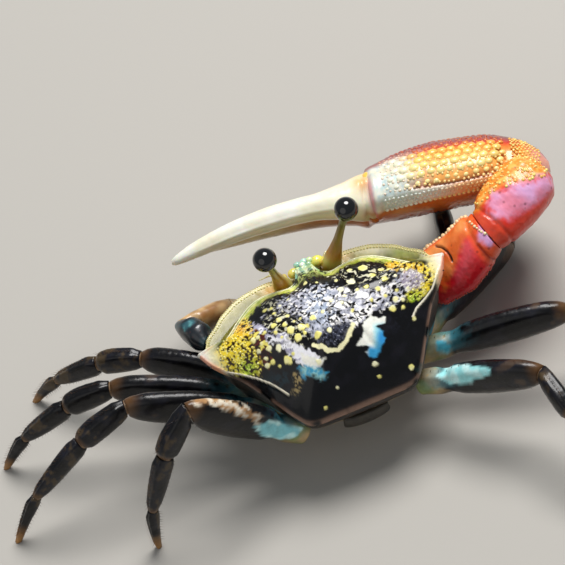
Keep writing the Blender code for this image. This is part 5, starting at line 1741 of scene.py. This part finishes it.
def makeSmallClaw():
    for index, segment in enumerate(("merus", "carpus", "palm", "finger")):
        rings = limbRings(smallJoints, index, (0, 0, 1), smallTables[segment], 48, 60)
        points, faces = tube(roundEnds(rings, 0.15, 5))
        if segment == "palm":
            fixedRings = ringsAlong(smallJoints[3], smallJoints[4], (0, 0, 1), fixedFingerTable, 30,
                                    np.linspace(-0.25, 1, 40))
            points, faces = joinParts([(points, faces), tube(roundEnds(fixedRings, 0.2, 4))])
        small, coarse = twoNoises(points, 0.45, 1.6, 141)
        points = points + np.outer(0.05 * (small - 0.5), (0, 0, 1))
        if segment in ("merus", "carpus"):
            tint = coats("101820", [
                ("2c5a64", smooth(0.45, 0.7, coarse)),
                ("6fb4b4", 0.7 * smooth(0.62, 0.76, small * 0.5 + coarse * 0.5)),
                ("4c7a4c", 0.6 * smooth(-12.6, -11.0, points[:, 0])),
            ])
        else:
            tint = coats("94683c", [
                ("cba878", smooth(0.35, 0.65, coarse)),
                ("f0e6c4", 0.8 * smooth(-9.5, -7.0, points[:, 0])),
            ])
        makePiece(f"small_claw_{segment}", points, faces, "claw", [f"claw_small_{segment}"],
                  tint, 0.22 + 0.12 * small)


# Rounded hip pieces between the breast and the root of each claw: joints, radius and colour.
clawHips = ((armJoints, 1.55, "b01616"), (smallJoints, 1.3, "24464c"))


def makeClawHips():
    parts, tints = [], []
    for joints, radius, code in clawHips:
        root = np.array(joints[0])
        axis = unit(np.subtract(joints[1], joints[0]))
        points, faces = sphereParts(root - 0.6 * axis, radius, 24, 36)
        parts.append((points, faces))
        tints.append(blend("a88a62", code, smooth(-1.5, -0.1, (points - root) @ axis)))
    points, faces = joinParts(parts)
    makePiece("claw_hips", points, faces, "joint", (), np.vstack(tints),
              0.3 + 0.2 * noise(points, 0.4, 151, 2))


makeSmallClaw()
makeClawHips()
print("small claw made")


# Mouth plates and tail

mouth = {"power": 0.7, "forward": (0, 1, 0.2), "seam": 0.2, "seamHeight": -6.3, "seamSide": 2.5}
tail = {"plates": 7, "halfThickness": 0.6, "joint": 0.09}
mouthTable = [(1.75, 6.3, -3.6, 1.0), (1.75, 6.1, -5.6, 1.55), (1.6, 4.9, -8.2, 1.1)]
tailRoute = [(0.0, -10.2, -7.4, 2.7), (0.0, -10.0, -8.8, 2.8), (0.0, -8.7, -9.8, 2.6),
             (0.0, -5.0, -10.1, 2.1), (0.0, 0.0, -9.9, 1.4), (0.0, 2.2, -9.4, 0.7)]


def makeMouth():
    for side, mirror in (("right", 1.0), ("left", -1.0)):
        route = throughPoints(mouthTable, 60)
        turn = circle(48)
        forward = unit(mouth["forward"])
        rings = []
        for x, y, z, width in route:
            centre = np.array((mirror * x, y, z))
            high = bulge(np.sin(turn), mouth["power"])
            wide = bulge(np.cos(turn), mouth["power"])
            rings.append(centre + forward * high[:, None] + np.outer(wide * width, (1, 0, 0)))
        points, faces = tube(roundEnds(rings, 0.3, 5))
        small, coarse = twoNoises(points, 0.4, 1.5, 151)
        seam = (hump(points[:, 2], mouth["seamHeight"], 0.12)
                + hump(np.abs(points[:, 0]), mouth["seamSide"], 0.12) * 0.7)
        points = points - np.outer(mouth["seam"] * seam * (points[:, 1] > 5), forward)
        tint = coats("9a8a5a", [
            ("c8b888", coarse),
            ("4a4a3a", 0.6 * smooth(0.5, 0.7, small)),
        ])
        makePiece(f"mouth_{side}", points, faces, "rim", [f"mouthpart_{side}"], tint,
                  0.3 + 0.1 * small)


def makeTail():
    route = throughPoints(tailRoute, 150)
    turn = circle(56)
    rings = []
    for index, (x, y, z, width) in enumerate(route):
        low, high = max(index - 2, 0), min(index + 2, len(route) - 1)
        axis = unit(route[high, :3] - route[low, :3])
        part = index / (len(route) - 1) * tail["plates"] % 1.0
        size = 1.0 - tail["joint"] * float(smooth(0.86, 0.98, part) + smooth(0.10, 0.0, part))
        up = np.cross((1, 0, 0), axis)
        rings.append(np.array((x, y, z)) + np.outer(np.sin(turn) * tail["halfThickness"] * size, up)
                     + np.outer(np.cos(turn) * width * size, (1, 0, 0)))
    points, faces = tube(roundEnds(rings, 0.15, 3))
    small, coarse = twoNoises(points, 0.4, 1.6, 161)
    tint = coats("8a7450", [
        ("c4b188", coarse),
        ("3c3224", 0.6 * smooth(0.52, 0.7, small)),
        # Painted shade: the rear of the tail is painted near black where it lies in the shadow under the
        # carapace's rear rim.
        ("14110e", 0.95 * smooth(-8.2, -9.2, points[:, 1])),
    ])
    makePiece("tail", points, faces, "rim", ["abdomen"], tint, 0.3 + 0.1 * small)


makeMouth()
makeTail()
print("mouth and tail made")
